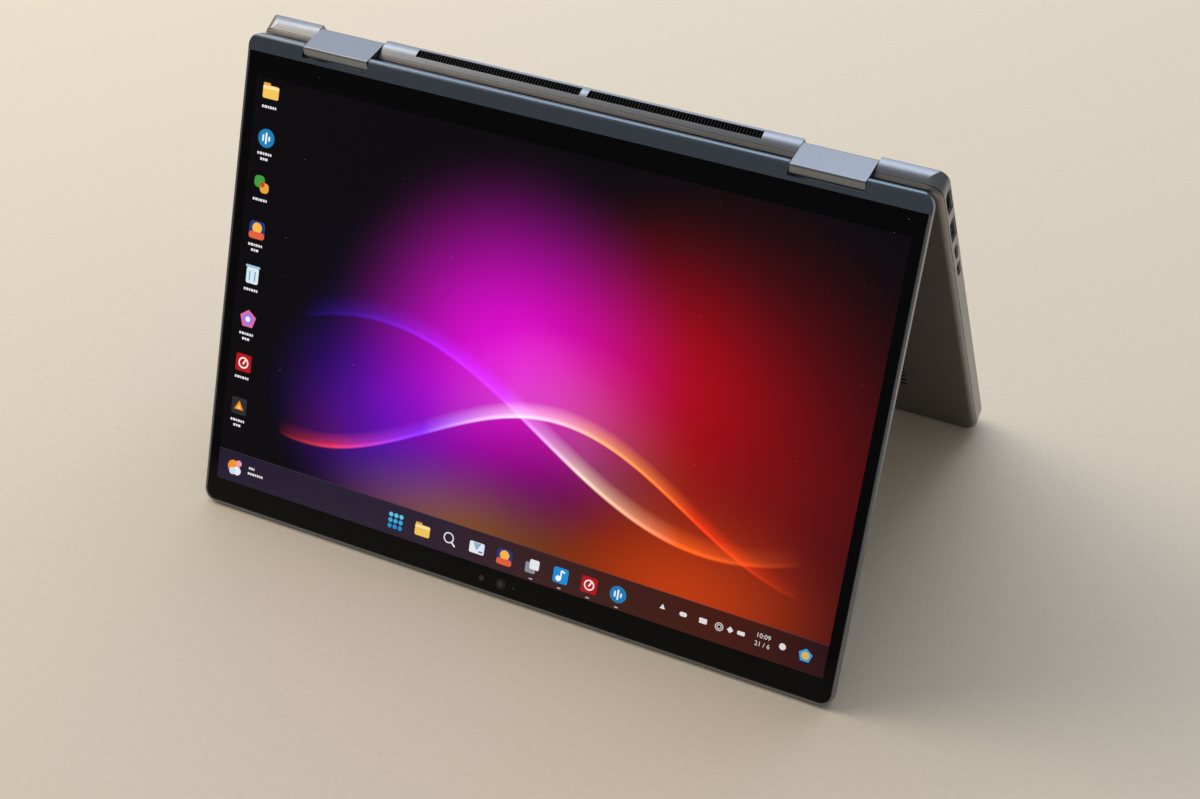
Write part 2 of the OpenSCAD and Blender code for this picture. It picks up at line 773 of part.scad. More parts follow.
// A closed box whose cone chamber opens downwards over the cover's slots
module speaker(side) {
    rim = speaker_rim;
    lo = [speaker_x[0], speaker_y[0]];
    hi = [speaker_x[1], speaker_y[1]];
    color(black) in_base() on_side(side) difference() {
        translate([lo.x, lo.y, floor_z]) cube([hi.x - lo.x, hi.y - lo.y, speaker_h]);
        translate([0, 0, floor_z - 1]) linear_extrude(3)
            corner_rect(lo + [rim, rim / 2], [hi.x - rim, lo.y + 44], (hi.x - lo.x) / 2 * 0.55 * [1, 1, 1, 1]);
    }
}

module speaker_left() { speaker(-1); }
module speaker_right() { speaker(1); }

drive_size = [80, 22, 0.8];
chip = [12, 16, 1.1];

module solid_state_drive() {
    color("#1d2a3a") in_base() translate([processor_size.x / 2 + 17, board_front_y + 15, board_top]) {
        cube(drive_size);
        for (i = [0 : 3]) translate([8 + i * (chip.x + 5), (drive_size.y - chip.y) / 2, drive_size.z]) cube(chip);
    }
}

module wireless_card() {
    card = [22, 26, 1.8];
    color(steel) in_base() translate([-processor_size.x / 2 - 25 - card.x, board_front_y + 12, board_top]) cube(card);
}

// ---------- sockets ----------

hdmi_size = [15, 5.4];
usb_a_size = [13.9, 5.4];
usb_c_size = [9.4, 3.4];
shell_t = 0.4;
jack_body_r = 2.7;
jack_len = 14.5;
jack_bore_len = 14;
socket_recess = 0.3;
socket_len = 12;

// A rectangle of that size about the middle, larger by grow on every side
module face(size, grow, r) {
    half = size / 2 + [grow, grow];
    corner_rect(-half, half, (r + grow) * [1, 1, 1, 1]);
}

module usb_a_face(grow) { face(usb_a_size, grow, 0.6); }
module usb_c_face(grow) { face(usb_c_size, grow, usb_c_size.y / 2 - 0.05); }

// The display socket's mouth: its two lower corners are cut off
module hdmi_face(grow) {
    half = hdmi_size / 2 + [grow, grow];
    cut = 1.7 + 0.4 * grow;
    polygon([[-half.x + cut, -half.y], [half.x - cut, -half.y], [half.x, -half.y + cut], [half.x, half.y],
        [-half.x, half.y], [-half.x, -half.y + cut]]);
}

// A metal shell lying inward from the left side: outside, opening and tongue are its three children
module socket_shell(in) {
    translate([socket_recess - half_w, rear_y - in, port_z]) rotate([90, 0, 90]) {
        difference() {
            linear_extrude(socket_len) children(0);
            translate([0, 0, -1]) linear_extrude(socket_len) children(1);
        }
        translate([0, 0, 1.2]) linear_extrude(socket_len - 2) children(2);
    }
}

module hdmi_socket() {
    color(steel) in_base() socket_shell(hdmi_in) {
        hdmi_face(0);
        hdmi_face(-shell_t);
        translate([0, 0.3]) square([11.4, 1.2], center = true);
    }
}

module usb_a_shell(in) {
    color(steel) socket_shell(in) {
        usb_a_face(0);
        usb_a_face(-shell_t);
        translate([0, 1.1]) square([11.1, 1.8], center = true);
    }
}

module usb_a_socket_left() { in_base() usb_a_shell(usb_a_in); }
module usb_a_socket_right() { in_base() mirror([1, 0, 0]) usb_a_shell(right_usb_in); }

module usb_c_sockets() {
    color(steel) in_base() for (i = [0, 1]) socket_shell(usb_c_in + i * usb_c_pitch) {
        usb_c_face(0);
        usb_c_face(-shell_t);
        square([6.7, 0.7], center = true);
    }
}

module headset_jack() {
    mouth_x = half_w - socket_recess;
    color(black) in_base() translate([0, rear_y - jack_in, port_z]) difference() {
        rod(mouth_x - jack_len, mouth_x, jack_body_r);
        rod(mouth_x - jack_bore_len, half_w + 1, jack_r);
    }
}

// ---------- hinges ----------

module base_hinge_bracket(side) {
    color(steel) in_base() on_side(side) {
        span([bracket_x, bracket_end, roof_z - 1], [bracket_x + leaf_w, -2, roof_z]);
        span([bracket_x, -4, -1.4], [bracket_x + bracket_w, rear_y - wall - part_gap, roof_z - 1]);
        rod(block_x + block_w / 2 - shaft_len, bracket_x, shaft_r);
    }
}

module base_hinge_bracket_left() { base_hinge_bracket(-1); }
module base_hinge_bracket_right() { base_hinge_bracket(1); }

// Outline of a link block in the link frame, drawn with y across and z up
module block_outline() {
    r = block_edge_r;
    top = shaft_gap + lid_axis_in;
    polygon([[-block_in_base + r, -block_end_base], [shaft_in - r, -block_end_base],
        [shaft_in, -block_end_base + r], [shaft_in, top - r], [shaft_in - r, top], [-block_in_lid + r, top],
        [-block_in_lid, top - r], [-block_in_base, -block_end_base + r]]);
    translate([shaft_in - r, -block_end_base + r]) circle(r);
    translate([shaft_in - r, top - r]) circle(r);
    translate([-block_in_lid + r, top - r]) circle(r);
    translate([-block_in_base + r, -block_end_base + r]) circle(r);
}

module hinge_block(side) {
    bore_r = shaft_r + bore_clearance;
    color(metal) in_link() on_side(side) difference() {
        translate([block_x, 0, 0]) along_x(block_w) block_outline();
        rod(block_x + block_w / 2 - shaft_len - 0.5, block_x + block_w, bore_r);
        translate([0, 0, shaft_gap]) rod(block_x + block_w / 2 - shaft_len - 0.5, block_x + block_w, bore_r);
    }
}

module hinge_block_left() { hinge_block(-1); }
module hinge_block_right() { hinge_block(1); }

leaf_end = 42;
leaf_t = 0.6;

module lid_hinge_bracket(side) {
    color(steel) in_lid() on_side(side) {
        rod(bracket_x, bracket_x + bracket_w, knuckle_r);
        rod(block_x + block_w / 2 - shaft_len, bracket_x, shaft_r);
        span([bracket_x, 0, lid_floor_z], [bracket_x + leaf_w, leaf_end, lid_floor_z + leaf_t]);
    }
}

module lid_hinge_bracket_left() { lid_hinge_bracket(-1); }
module lid_hinge_bracket_right() { lid_hinge_bracket(1); }

// ---------- lid ----------

// Outside of the closed lid
module lid_form() {
    intersection() {
        round_slab([-half_w, -shaft_in, -lid_axis_in], [half_w, reach, lid_axis_in],
            lid_corner_r, lid_edge_r, rim_edge_r);
        along_x(body_w) corner_rect([-shaft_in, -lid_axis_in], [reach + 5, lid_axis_in],
            [lid_axis_in, 1, 1, lid_axis_in - eps]);
    }
}

// Room in the lid for the hinge blocks and for the knuckles and leaves of the brackets
module lid_hinge_room() {
    for (side = [-1, 1]) on_side(side) {
        span([block_x - notch_w / 2, -shaft_in - 1, -lid_axis_in - 1],
            [block_x + notch_w / 2, lid_sweep_r + block_clearance, lid_axis_in + 1]);
        rod(block_x, bracket_x + bracket_w + part_gap, knuckle_r + 0.1);
        span([bracket_x - part_gap, 0, lid_floor_z], [bracket_x + leaf_w + part_gap, glass_end + 1,
            lid_floor_z + leaf_t + part_gap]);
    }
}

// Upper half of the lid form between the hinge edge and end
module strip_zone(end) {
    span([-half_w - 1, -shaft_in - 1, 0], [half_w + 1, end, lid_t]);
}

module lid_cover() {
    color(metal) in_lid() difference() {
        lid_form();
        translate([0, 0, lid_floor_z]) linear_extrude(lid_t) glass_outline(rim_w, glass_end);
        strip_zone(glass_end + eps);
        lid_hinge_room();
        shutter_slot();
    }
}

module hinge_strip() {
    color(dark_metal) in_lid() difference() {
        intersection() {
            lid_form();
            strip_zone(glass_end - 0.1);
        }
        lid_hinge_room();
    }
}

module display_panel() {
    color(black) in_lid() span([-picture_w / 2 - 2, panel_y[0], glass_z - panel_t],
        [picture_w / 2 + 2, panel_y[1], glass_z]);
}

// Outline at a distance edge from the lid's sides, open to the hinge edge as far as start
module glass_outline(edge, start) {
    corner_rect([edge - half_w, start], [half_w - edge, reach - edge],
        [0.5, 0.5, lid_corner_r - edge, lid_corner_r - edge]);
}

module screen_glass() {
    color(black) in_lid() translate([0, 0, glass_z]) linear_extrude(glass_t)
        glass_outline(glass_edge, glass_end);
}

module glass_gasket() {
    color(black) in_lid() translate([0, 0, glass_z - 0.4]) linear_extrude(glass_t + 0.3) difference() {
        glass_outline(rim_w + 0.02, glass_end + 1);
        glass_outline(glass_edge - 0.02, glass_end - 2);
    }
}

camera_y = reach - camera_in;
knob = [3.4, 1.1];
slide_gap = 0.3;
blade_z = glass_z - 2 * slide_gap;
camera_top_z = blade_z - slide_gap;

module shutter_slot() {
    span([-knob.x / 2 - slide_gap, reach - rim_w - 1, -knob.y / 2 - slide_gap],
        [knob.x / 2 + shutter_travel + slide_gap, reach + 1, knob.y / 2 + slide_gap]);
}

module camera_module() {
    color(dark_metal) in_lid() difference() {
        span([-32, camera_y - 2.4, lid_floor_z], [32, camera_y + 2.2, camera_top_z]);
        translate([0, camera_y, camera_top_z - 0.5]) cylinder(2, 1.2, 1.2);
    }
}

// Thin blade under the glass with a knob that passes out through the lid's front edge
module camera_shutter() {
    web_y = reach - rim_w - 1.5;
    color(black) in_lid() translate([shutter_travel, 0, 0]) {
        span([-knob.x / 2, camera_y - 1.8, blade_z], [knob.x / 2, web_y + 0.7, blade_z + slide_gap]);
        span([-knob.x / 2, web_y, -knob.y / 2], [knob.x / 2, web_y + 0.7, blade_z + slide_gap]);
        span([-knob.x / 2, web_y, -knob.y / 2], [knob.x / 2, reach - 0.15, knob.y / 2]);
    }
}

// ---------- build ----------

bottom_cover();
top_case();
rear_vent_grilles();
rubber_feet();
bottom_screws();
keyboard_frame();
keyboard_backplate();
mainboard();
processor();
battery();
heat_pipe();
heat_fins();
fan_housing_left();
fan_housing_right();
speaker_left();
speaker_right();
solid_state_drive();
wireless_card();
hdmi_socket();
usb_a_socket_left();
usb_c_sockets();
usb_a_socket_right();
headset_jack();
base_hinge_bracket_left();
base_hinge_bracket_right();
touchpad_frame();
touchpad();
function_keys();
power_key();
number_keys();
upper_letter_keys();
home_letter_keys();
lower_letter_keys();
control_keys();
space_bar();
arrow_keys();
fan_rotor_left();
fan_rotor_right();
hinge_block_left();
hinge_block_right();
lid_cover();
hinge_strip();
display_panel();
screen_glass();
glass_gasket();
camera_module();
camera_shutter();
lid_hinge_bracket_left();
lid_hinge_bracket_right();
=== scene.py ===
# %% [markdown]
# # A convertible laptop standing as a tent
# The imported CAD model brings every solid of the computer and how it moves. This script adds what CAD
# leaves out: anodised metal, coated glass, a lit display with its desktop, key legends, a lens, port
# contacts and a few grains of dust. The solids could be modelled again as meshes, but they are exact
# already, so they are loaded and dressed, and whatever is new is placed against them.

# %% Load the solids
import json
import math
import random
import bmesh
import bpy
from mathutils import Matrix, Vector


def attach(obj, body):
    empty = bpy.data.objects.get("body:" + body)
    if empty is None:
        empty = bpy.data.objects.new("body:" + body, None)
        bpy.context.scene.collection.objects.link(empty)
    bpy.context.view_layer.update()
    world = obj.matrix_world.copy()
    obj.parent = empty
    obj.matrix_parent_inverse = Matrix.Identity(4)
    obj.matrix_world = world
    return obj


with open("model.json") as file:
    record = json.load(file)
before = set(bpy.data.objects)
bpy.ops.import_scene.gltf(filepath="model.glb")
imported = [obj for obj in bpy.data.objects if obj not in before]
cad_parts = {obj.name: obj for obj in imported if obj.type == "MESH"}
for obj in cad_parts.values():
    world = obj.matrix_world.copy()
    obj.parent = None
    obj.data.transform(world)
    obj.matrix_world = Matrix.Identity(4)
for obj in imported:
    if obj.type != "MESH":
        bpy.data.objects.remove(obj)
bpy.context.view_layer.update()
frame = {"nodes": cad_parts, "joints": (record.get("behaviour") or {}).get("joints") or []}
nodes = frame["nodes"]
joints = {joint["name"]: joint for joint in frame["joints"]}

# %% [markdown]
# ## Frames of the base, the lid and the screen
# The base leans one way and the screen the other, so a place on them is awkward in world axes. Parented
# empties would give local axes, but a finished piece has to hold its place in its own mesh. So a frame
# here is a matrix from millimetres on a part to metres in the world. The base frame has x to the typist's
# right, y to the rear and z out of the deck, with its origin on the hinge. The screen frame looks at the
# display as it stands: x across, y up, z out of the glass. Both are worked out from the joints and from
# the glass itself, so they stay true if the model changes.

# %% Sizes of the display in millimetres
MM = 0.001
PICTURE = Vector((301.6, 188.5))  # the lit area: 16 to 10, 14 inches from corner to corner
PICTURE_LOW = 204.1  # from the lid's hinge to the picture's lower edge
LENS_UP = PICTURE_LOW - 210.1  # the lens is 210.1 mm from the hinge, so below the picture
print("the picture's diagonal is", round(PICTURE.length / 25.4, 2), "inches")

# %% Frame of the base
ACROSS = Vector((1, 0, 0))


def axes(x, z, origin):
    """A matrix from millimetres along x, z cross x and z to metres in the world."""
    turn = Matrix((x, z.cross(x), z)).transposed().to_4x4()
    return Matrix.Translation(origin) @ turn @ Matrix.Scale(MM, 4)


def joint_place(name):
    """A hinge's place, moved along its axis to the middle of the computer."""
    place = Vector(joints[name]["pos_m"])
    place.x = 0
    return place


deck_out = Vector(joints["fan_left_spin"]["axis"]).normalized()
base = axes(-ACROSS, deck_out, joint_place("left_base_hinge"))
print("the deck leans", round(math.degrees(math.acos(deck_out.z))), "degrees")

# %% Frames of the lid and the screen
glass_faces = nodes["screen_glass"].data.polygons
glass_out = max(glass_faces, key=lambda face: face.area * (face.normal.y < -0.5)).normal.copy()
lid = axes(-ACROSS, glass_out, joint_place("lid_hinge"))


def reach_of(node, space):
    """Lowest and highest corner of a CAD node in a frame, in millimetres."""
    inverse = space.inverted()
    spots = [inverse @ vertex.co for vertex in nodes[node].data.vertices]
    return [Vector(pick(spot[i] for spot in spots) for i in range(3)) for pick in (min, max)]


glass_top = reach_of("screen_glass", lid)[1].z
screen = axes(ACROSS, glass_out, lid @ Vector((0, PICTURE_LOW, glass_top)))
print("the screen leans back", round(math.degrees(math.asin(glass_out.z)), 1), "degrees")

# %% [markdown]
# ## Building blocks for materials
# A material is a small graph of shader nodes. It could be wired by hand in the editor, or with a function
# for each kind of node. One function for every kind is shorter, and each node's settings stand where it
# is used. Colours are written as sRGB hex values, which a helper turns into the linear values that
# shaders work in.

# %% Linear colours
def linear(hex_colour):
    """The linear colour of an sRGB hex value."""
    parts = [int(hex_colour[i:i + 2], 16) / 255 for i in (1, 3, 5)]
    return [c / 12.92 if c <= 0.04045 else ((c + 0.055) / 1.055) ** 2.4 for c in parts] + [1.0]


print("the middle grey #808080 is", round(linear("#808080")[0], 3), "in linear light")

# %% Shader nodes
def add(tree, kind, settings=None, links=None):
    """Adds a shader node. Settings go to its properties or sockets, links join its sockets to outputs."""
    node = tree.nodes.new("ShaderNode" + kind)
    for name, value in (settings or {}).items():
        if name == "stops":
            ramp = node.color_ramp
            while len(ramp.elements) < len(value):
                ramp.elements.new(0.5)
            for element, (place, colour) in zip(ramp.elements, value):
                element.position = place
                element.color = linear(colour)
        elif isinstance(name, str) and hasattr(node, name):
            setattr(node, name, value)
        else:
            node.inputs[name].default_value = value
    for name, source in (links or {}).items():
        tree.links.new(source, node.inputs[name])
    return node


print(sum(kind.startswith("ShaderNode") for kind in dir(bpy.types)), "kinds of shader node to choose from")

# %% Materials
def feed(shader, sources):
    """Links outputs to the sockets of a material's shader."""
    for socket, source in sources.items():
        shader.id_data.links.new(source, shader.inputs[socket])


def material(name, settings):
    """A material, its tree and its Principled shader, with constants set on the shader's sockets."""
    made = bpy.data.materials.new(name)
    made.use_nodes = True
    shader = made.node_tree.nodes["Principled BSDF"]
    for socket, value in settings.items():
        shader.inputs[socket].default_value = value
    return made, made.node_tree, shader


print("materials before the first finish:", len(bpy.data.materials))

# %% [markdown]
# ## Patterns in real millimetres
# Grain has a size: a bead mark or a brushed line is so many millimetres wide. UV maps would need each
# solid unwrapped, and CAD triangles have none. Object coordinates are the same all over a solid, and a
# Mapping node of the kind "Texture" undoes a frame. What comes out is millimetres on the part, so a
# pattern's scale is simply one over its real size.

# %% The shaded spot on a part
def spot_in(tree, space):
    """The shaded spot in a frame's millimetres."""
    coords = add(tree, "TexCoord")
    place, turned, _ = space.decompose()
    settings = {"vector_type": "TEXTURE", "Location": place, "Rotation": turned.to_euler(),
                "Scale": (MM, MM, MM)}
    return add(tree, "Mapping", settings, {"Vector": coords.outputs["Object"]}).outputs[0]


print("a 40 mm wide cloud has the scale", 1 / 40)

# %% [markdown]
# ## Anodised aluminium
# The case is milled and pressed aluminium, blasted with fine glass beads and then anodised. Blasting
# scatters light, so highlights are broad and soft, and dye in the oxide darkens the metal. A grey with a
# lower metallic value would come close, but its highlight would stay white, while a metal's highlight
# takes the metal's colour. So the shader is fully metallic, and the beads are a fine noise in its tone
# and bump.

# %% Blasted metals
BEAD_MARK = 0.35  # mm; real marks are near 0.1 mm and would vanish, so they are drawn coarser
BEAD_DEPTH = 0.03 * MM  # a Bump node takes metres
HAND_CLOUD = 40  # mm; where hands have polished the oxide
HAND_SHINE = 0.015  # as much as they change its roughness
NOISE_LOW, NOISE_HIGH = 0.3, 0.7  # most values of a noise lie between these


def blasted_metal(name, space, colour, darker, rough):
    made, tree, shader = material(name, {"Metallic": 1.0})
    spot = spot_in(tree, space)
    beads = add(tree, "TexNoise", {"Scale": 1 / BEAD_MARK, "Detail": 2.0, "Roughness": 0.6}, {"Vector": spot})
    clouds = add(tree, "TexNoise", {"Scale": 1 / HAND_CLOUD, "Detail": 3.0}, {"Vector": spot})
    tones = [(NOISE_LOW, darker), (NOISE_HIGH, colour)]
    tone = add(tree, "ValToRGB", {"stops": tones}, {"Fac": beads.outputs["Fac"]})
    limits = {"From Min": NOISE_LOW, "From Max": NOISE_HIGH, "To Min": rough - HAND_SHINE,
              "To Max": rough + HAND_SHINE}
    gloss = add(tree, "MapRange", limits, {"Value": clouds.outputs["Fac"]})
    bump = add(tree, "Bump", {"Strength": 0.06, "Distance": BEAD_DEPTH}, {"Height": beads.outputs["Fac"]})
    feed(shader, {"Base Color": tone.outputs[0], "Roughness": gloss.outputs[0], "Normal": bump.outputs[0]})
    return made


# Top case and hinge blocks: a cool grey with a soft sheen that has no direction.
case_metal = blasted_metal("anodised_aluminium", base, "#8a8d92", "#7f8287", 0.31)
# Lid: the same bath, with its grain in the lid's own frame.
lid_metal = blasted_metal("anodised_aluminium_lid", lid, "#8a8d92", "#7f8287", 0.31)
# Bottom cover: pressed sheet, duller than the milled case, and painted a little warmer as a painted warm
# reflection.
cover_metal_painted_warm_reflection = blasted_metal("anodised_aluminium_cover_painted_warm_reflection", base, "#918d8b", "#878381", 0.36)
# Strip along the hinge: the same metal, painted darker and bluer as painted shade and a painted cool
# reflection, so it joins the black glass to the pale lid.
strip_metal_painted_shade = blasted_metal("anodised_aluminium_strip_painted_shade", lid, "#6a757f", "#616c76", 0.28)
print("blasted metals:", case_metal.name, lid_metal.name, cover_metal_painted_warm_reflection.name, strip_metal_painted_shade.name)

# %% [markdown]
# ## Moulded plastics, rubber and glass
# Key caps are injected ABS, housings are polycarbonate, and feet and gasket are silicone rubber. Their
# steel moulds are spark-eroded or polished, and leave a skin of tiny pits. Pits could be cut into the
# mesh, but they are under 0.3 mm. A Voronoi pattern has the same round cells, so its distance drives a
# faint bump and the gloss, and a slow noise moves the colour a little. Etching leaves the touchpad's
# glass with a skin of the same kind.

# %% Moulded finishes
DRIFT = 15  # mm; width of the slow changes of colour
PIT_SHINE = 0.06  # a pit's middle is this much rougher, and its rim smoother


def moulded(name, space, colour, paler, rough, pit, depth, specular=0.5):
    """A moulded skin. Width and depth of its pits are in millimetres."""
    made, tree, shader = material(name, {"IOR": 1.5, "Specular IOR Level": specular})
    spot = spot_in(tree, space)
    pits = add(tree, "TexVoronoi", {"Scale": 1 / pit}, {"Vector": spot}).outputs["Distance"]
    drift = add(tree, "TexNoise", {"Scale": 1 / DRIFT, "Detail": 2.0}, {"Vector": spot})
    tone = add(tree, "ValToRGB", {"stops": [(0.25, colour), (0.8, paler)]}, {"Fac": drift.outputs["Fac"]})
    gloss = add(tree, "MapRange", {"To Min": rough + PIT_SHINE, "To Max": rough - PIT_SHINE}, {"Value": pits})
    bump = add(tree, "Bump", {"Strength": 0.3, "Distance": depth * MM}, {"Height": pits})
    feed(shader, {"Base Color": tone.outputs[0], "Roughness": gloss.outputs[0], "Normal": bump.outputs[0]})
    return made


# Key caps: spark-eroded ABS under a soft coat, nearly black with a dim sheen.
keycap = moulded("moulded_abs_keycap", base, "#2c2c2f", "#353538", 0.48, 0.18, 0.02)
# Touchpad: glass etched to satin and painted grey behind.
touchpad_glass = moulded("etched_glass_touchpad", base, "#55585d", "#5a5d62", 0.34, 0.12, 0.004)
# Feet: rubber scatters light and looks dusty at a slant.
rubber = moulded("silicone_rubber", base, "#18181a", "#232325", 0.75, 0.3, 0.04, 0.3)
# Bead round the glass: smoother rubber, seen as a thin dark line.
gasket = moulded("silicone_gasket", lid, "#0c0c0d", "#141416", 0.55, 0.3, 0.02, 0.3)
print("visible mouldings:", keycap.name, touchpad_glass.name, rubber.name, gasket.name)

# %% Finishes of grilles and inner parts
# Housings: polycarbonate with glass fibre, a little coarser than the caps.
black_plastic = moulded("moulded_pc_black", base, "#101012", "#1a1a1c", 0.5, 0.25, 0.03)
# Vent grilles: the same plastic, painted close to black as painted shade deep in the wall, and hardly
# shining.
grille_plastic_painted_shade = moulded("moulded_pc_grille_painted_shade", base, "#040405", "#08080a", 0.5, 0.25, 0.02, 0.15)
# Camera housing: a polished mould, so glossier.
lid_plastic = moulded("moulded_pc_camera", lid, "#0b0b0d", "#151517", 0.35, 0.25, 0.02)
# Battery: a laminate pouch whose foil shows as a coarse wrinkle.
wrap = moulded("laminate_pouch", base, "#1d1d20", "#2a2a2e", 0.45, 0.8, 0.02)
# Boards: green lacquer over copper tracks, glossy and uneven.
board = moulded("solder_mask", base, "#0f3a2a", "#16503a", 0.35, 0.9, 0.03)
print("inner mouldings:", black_plastic.name, grille_plastic_painted_shade.name, lid_plastic.name, wrap.name, board.name)

# %% [markdown]
# ## Plated steel and copper
# Screws, brackets and plates are steel with a skin of nickel, and the heat pipe is drawn copper. Rolling
# and drawing leave fine lines in one direction. An anisotropic shader would stretch the highlight, but
# needs tangents, which CAD triangles lack. Noise stretched along the lines changes tone, gloss and
# bump instead, and reads the same at this size.

# %% Plated and drawn metals
STREAK = (2, 0.08, 0.08)  # a rolling line is about 2 mm long and 0.08 mm wide
STREAK_DEPTH = 0.02 * MM
STREAK_SHINE = 0.08  # as much as the lines change the roughness


def plated(name, space, colour, darker, rough):
    made, tree, shader = material(name, {"Metallic": 1.0})
    spot = spot_in(tree, space)
    stretched = add(tree, "Mapping", {"vector_type": "TEXTURE", "Scale": STREAK}, {"Vector": spot})
    noise = add(tree, "TexNoise", {"Scale": 1.0, "Detail": 3.0}, {"Vector": stretched.outputs[0]})
    lines = noise.outputs["Fac"]
    tone = add(tree, "ValToRGB", {"stops": [(NOISE_LOW, darker), (NOISE_HIGH, colour)]}, {"Fac": lines})
    limits = {"To Min": rough - STREAK_SHINE, "To Max": rough + STREAK_SHINE}
    gloss = add(tree, "MapRange", limits, {"Value": lines})
    bump = add(tree, "Bump", {"Strength": 0.1, "Distance": STREAK_DEPTH}, {"Height": lines})
    feed(shader, {"Base Color": tone.outputs[0], "Roughness": gloss.outputs[0], "Normal": bump.outputs[0]})
    return made


# Screws, plates and brackets: brighter than the case, with faint lines.
plated_steel = plated("nickel_plated_steel", base, "#b7b9bc", "#9a9da1", 0.28)
lid_steel = plated("nickel_plated_steel_lid", lid, "#b7b9bc", "#9a9da1", 0.28)
# Heat pipe and fins: the one warm colour inside.
copper = plated("drawn_copper", base, "#b86a45", "#9a5233", 0.3)
# Contacts: a flash of gold on spring bronze, glossy.
gold = plated("gold_plated_contacts", base, "#d9a94e", "#c08f38", 0.25)
print("plated metals:", plated_steel.name, lid_steel.name, copper.name, gold.name)

# %% [markdown]
# ## Sockets
# A socket is a folded steel shell round a black plastic tongue, and in the CAD model it is one solid.
# Splitting the solid would give it two materials, but a CAD mesh isn't changed. One material with a mask does
# it: the distance from the middle of the computer tells the lip at the mouth from the inside. The lip is
# nickel painted paler than the plated steel elsewhere, a painted highlight. Further in, shell and tongue are
# painted near black: on the steel shell that is painted shade, and on the tongue it is the plastic's own
# black.

# %% Sockets with a painted highlight at the lip and painted shade inside
# Behind these depths the steel shell is painted near black as painted shade.
LIP_INTO_SHADE = (1.1, 0.9)  # mm; the lip fades out between these depths behind the mouth
DEEP_ROUGH, STEEL_ROUGH = 0.6, 0.35


def socket_with_painted_shade(name, mouth):
    made, tree, shader = material(name, {})
    across = add(tree, "SeparateXYZ", links={0: spot_in(tree, base)}).outputs[0]
    out = add(tree, "Math", {"operation": "ABSOLUTE"}, {0: across})
    limits = {"From Min": mouth - LIP_INTO_SHADE[0], "From Max": mouth - LIP_INTO_SHADE[1]}
    lip_else_painted_shade = add(tree, "MapRange", limits, {"Value": out.outputs[0]}).outputs[0]
    # Near black deep in is painted shade on the steel shell, and the pale lip is a painted highlight.
    tone = add(tree, "ValToRGB", {"stops": [(0.0, "#0b0b0d"), (1.0, "#dcdee2")]}, {"Fac": lip_else_painted_shade})
    gloss = add(tree, "MapRange", {"To Min": DEEP_ROUGH, "To Max": STEEL_ROUGH}, {"Value": lip_else_painted_shade})
    feed(shader, {"Base Color": tone.outputs[0], "Roughness": gloss.outputs[0], "Metallic": lip_else_painted_shade})
    return made


# Socket shells: nickel painted pale for the first millimetre as a painted highlight, and near black further
# in, which on the steel is painted shade.
mouth = -reach_of("hdmi_socket", base)[0].x
socket_steel_painted_shade = socket_with_painted_shade("nickel_plated_socket_painted_shade", mouth)
print("socket mouths are", round(mouth, 2), "mm from the middle")

# %% [markdown]
# ## Coated cover glass
# The display sits behind aluminosilicate glass. Its front is clear, its back carries a printed black
# border, and an anti-reflection coat cuts the mirror image to about a quarter. A real pane of clear glass
# could be laid over black, but clear glass costs much light sampling and looks no different. So it is an
# opaque black dielectric with a low specular level, and finger smears 22 mm wide dull it in places.

# %% Coated glass
SMEAR = 22  # mm
CLEAN, SMEARED = 0.05, 0.13  # roughness of clean glass and of a finger smear


def coated_glass(name, settings):
    """Black glass with an anti-reflection coat. The settings may add the light of the display."""
    look = {"Base Color": linear("#040304"), "IOR": 1.5, "Specular IOR Level": 0.12, **settings}
    made, tree, shader = material(name, look)
    spot = spot_in(tree, screen)
    smear = add(tree, "TexNoise", {"Scale": 1 / SMEAR, "Detail": 4.0, "Distortion": 1.2}, {"Vector": spot})
    limits = {"From Min": 0.45, "From Max": 0.75, "To Min": CLEAN, "To Max": SMEARED}
    gloss = add(tree, "MapRange", limits, {"Value": smear.outputs["Fac"]})
    feed(shader, {"Roughness": gloss.outputs[0]})
    return made, tree, shader, spot


# Cover glass: deep black with a weak, slightly smeared mirror image.
glass = coated_glass("coated_cover_glass", {})[0]
print("cover glass:", glass.name)

# %% [markdown]
# ## The display's light
# An organic LED panel glows by itself, so its picture is emission under the same coated glass. A picture
# file could be mapped on it, but this model carries none, so the picture is an abstract made of nodes:
# soft glows on black, and two crossing waves of light. A glow is a spherical gradient squeezed to an
# ellipse.

# %% Glows
DEEP = 1e6  # so deep that a spot's height over the glass makes no difference
FALL = 1.5  # how steeply a glow falls off


def glow(tree, spot, total, centre, size, colour):
    """Adds a soft ellipse of light to the running total."""
    settings = {"vector_type": "TEXTURE", "Location": (*centre, 0), "Scale": (*size, DEEP)}
    squeezed = add(tree, "Mapping", settings, {"Vector": spot})
    ball = add(tree, "TexGradient", {"gradient_type": "SPHERICAL"}, {"Vector": squeezed.outputs[0]})
    soft = add(tree, "MapRange", {"interpolation_type": "SMOOTHSTEP"}, {"Value": ball.outputs["Fac"]})
    soft = add(tree, "Math", {"operation": "POWER", 1: FALL}, {0: soft.outputs[0]})
    lit = add(tree, "VectorMath", {"operation": "SCALE", 0: linear(colour)[:3]}, {"Scale": soft.outputs[0]})
    return add(tree, "VectorMath", {"operation": "ADD"}, {0: total, 1: lit.outputs[0]}).outputs[0]


GLOWS = [  # middle and half size in mm from the picture's lower edge, and colour
    ((-12, 96), (98, 96), "#dc00cc"), ((52, 106), (88, 84), "#8c0012"), ((84, 92), (120, 116), "#780004"),
    ((-64, 56), (74, 70), "#4a00a4"), ((80, 14), (104, 62), "#b03800"), ((128, 40), (90, 120), "#440804"),
    ((-26, 12), (92, 44), "#7a4a10"),
]
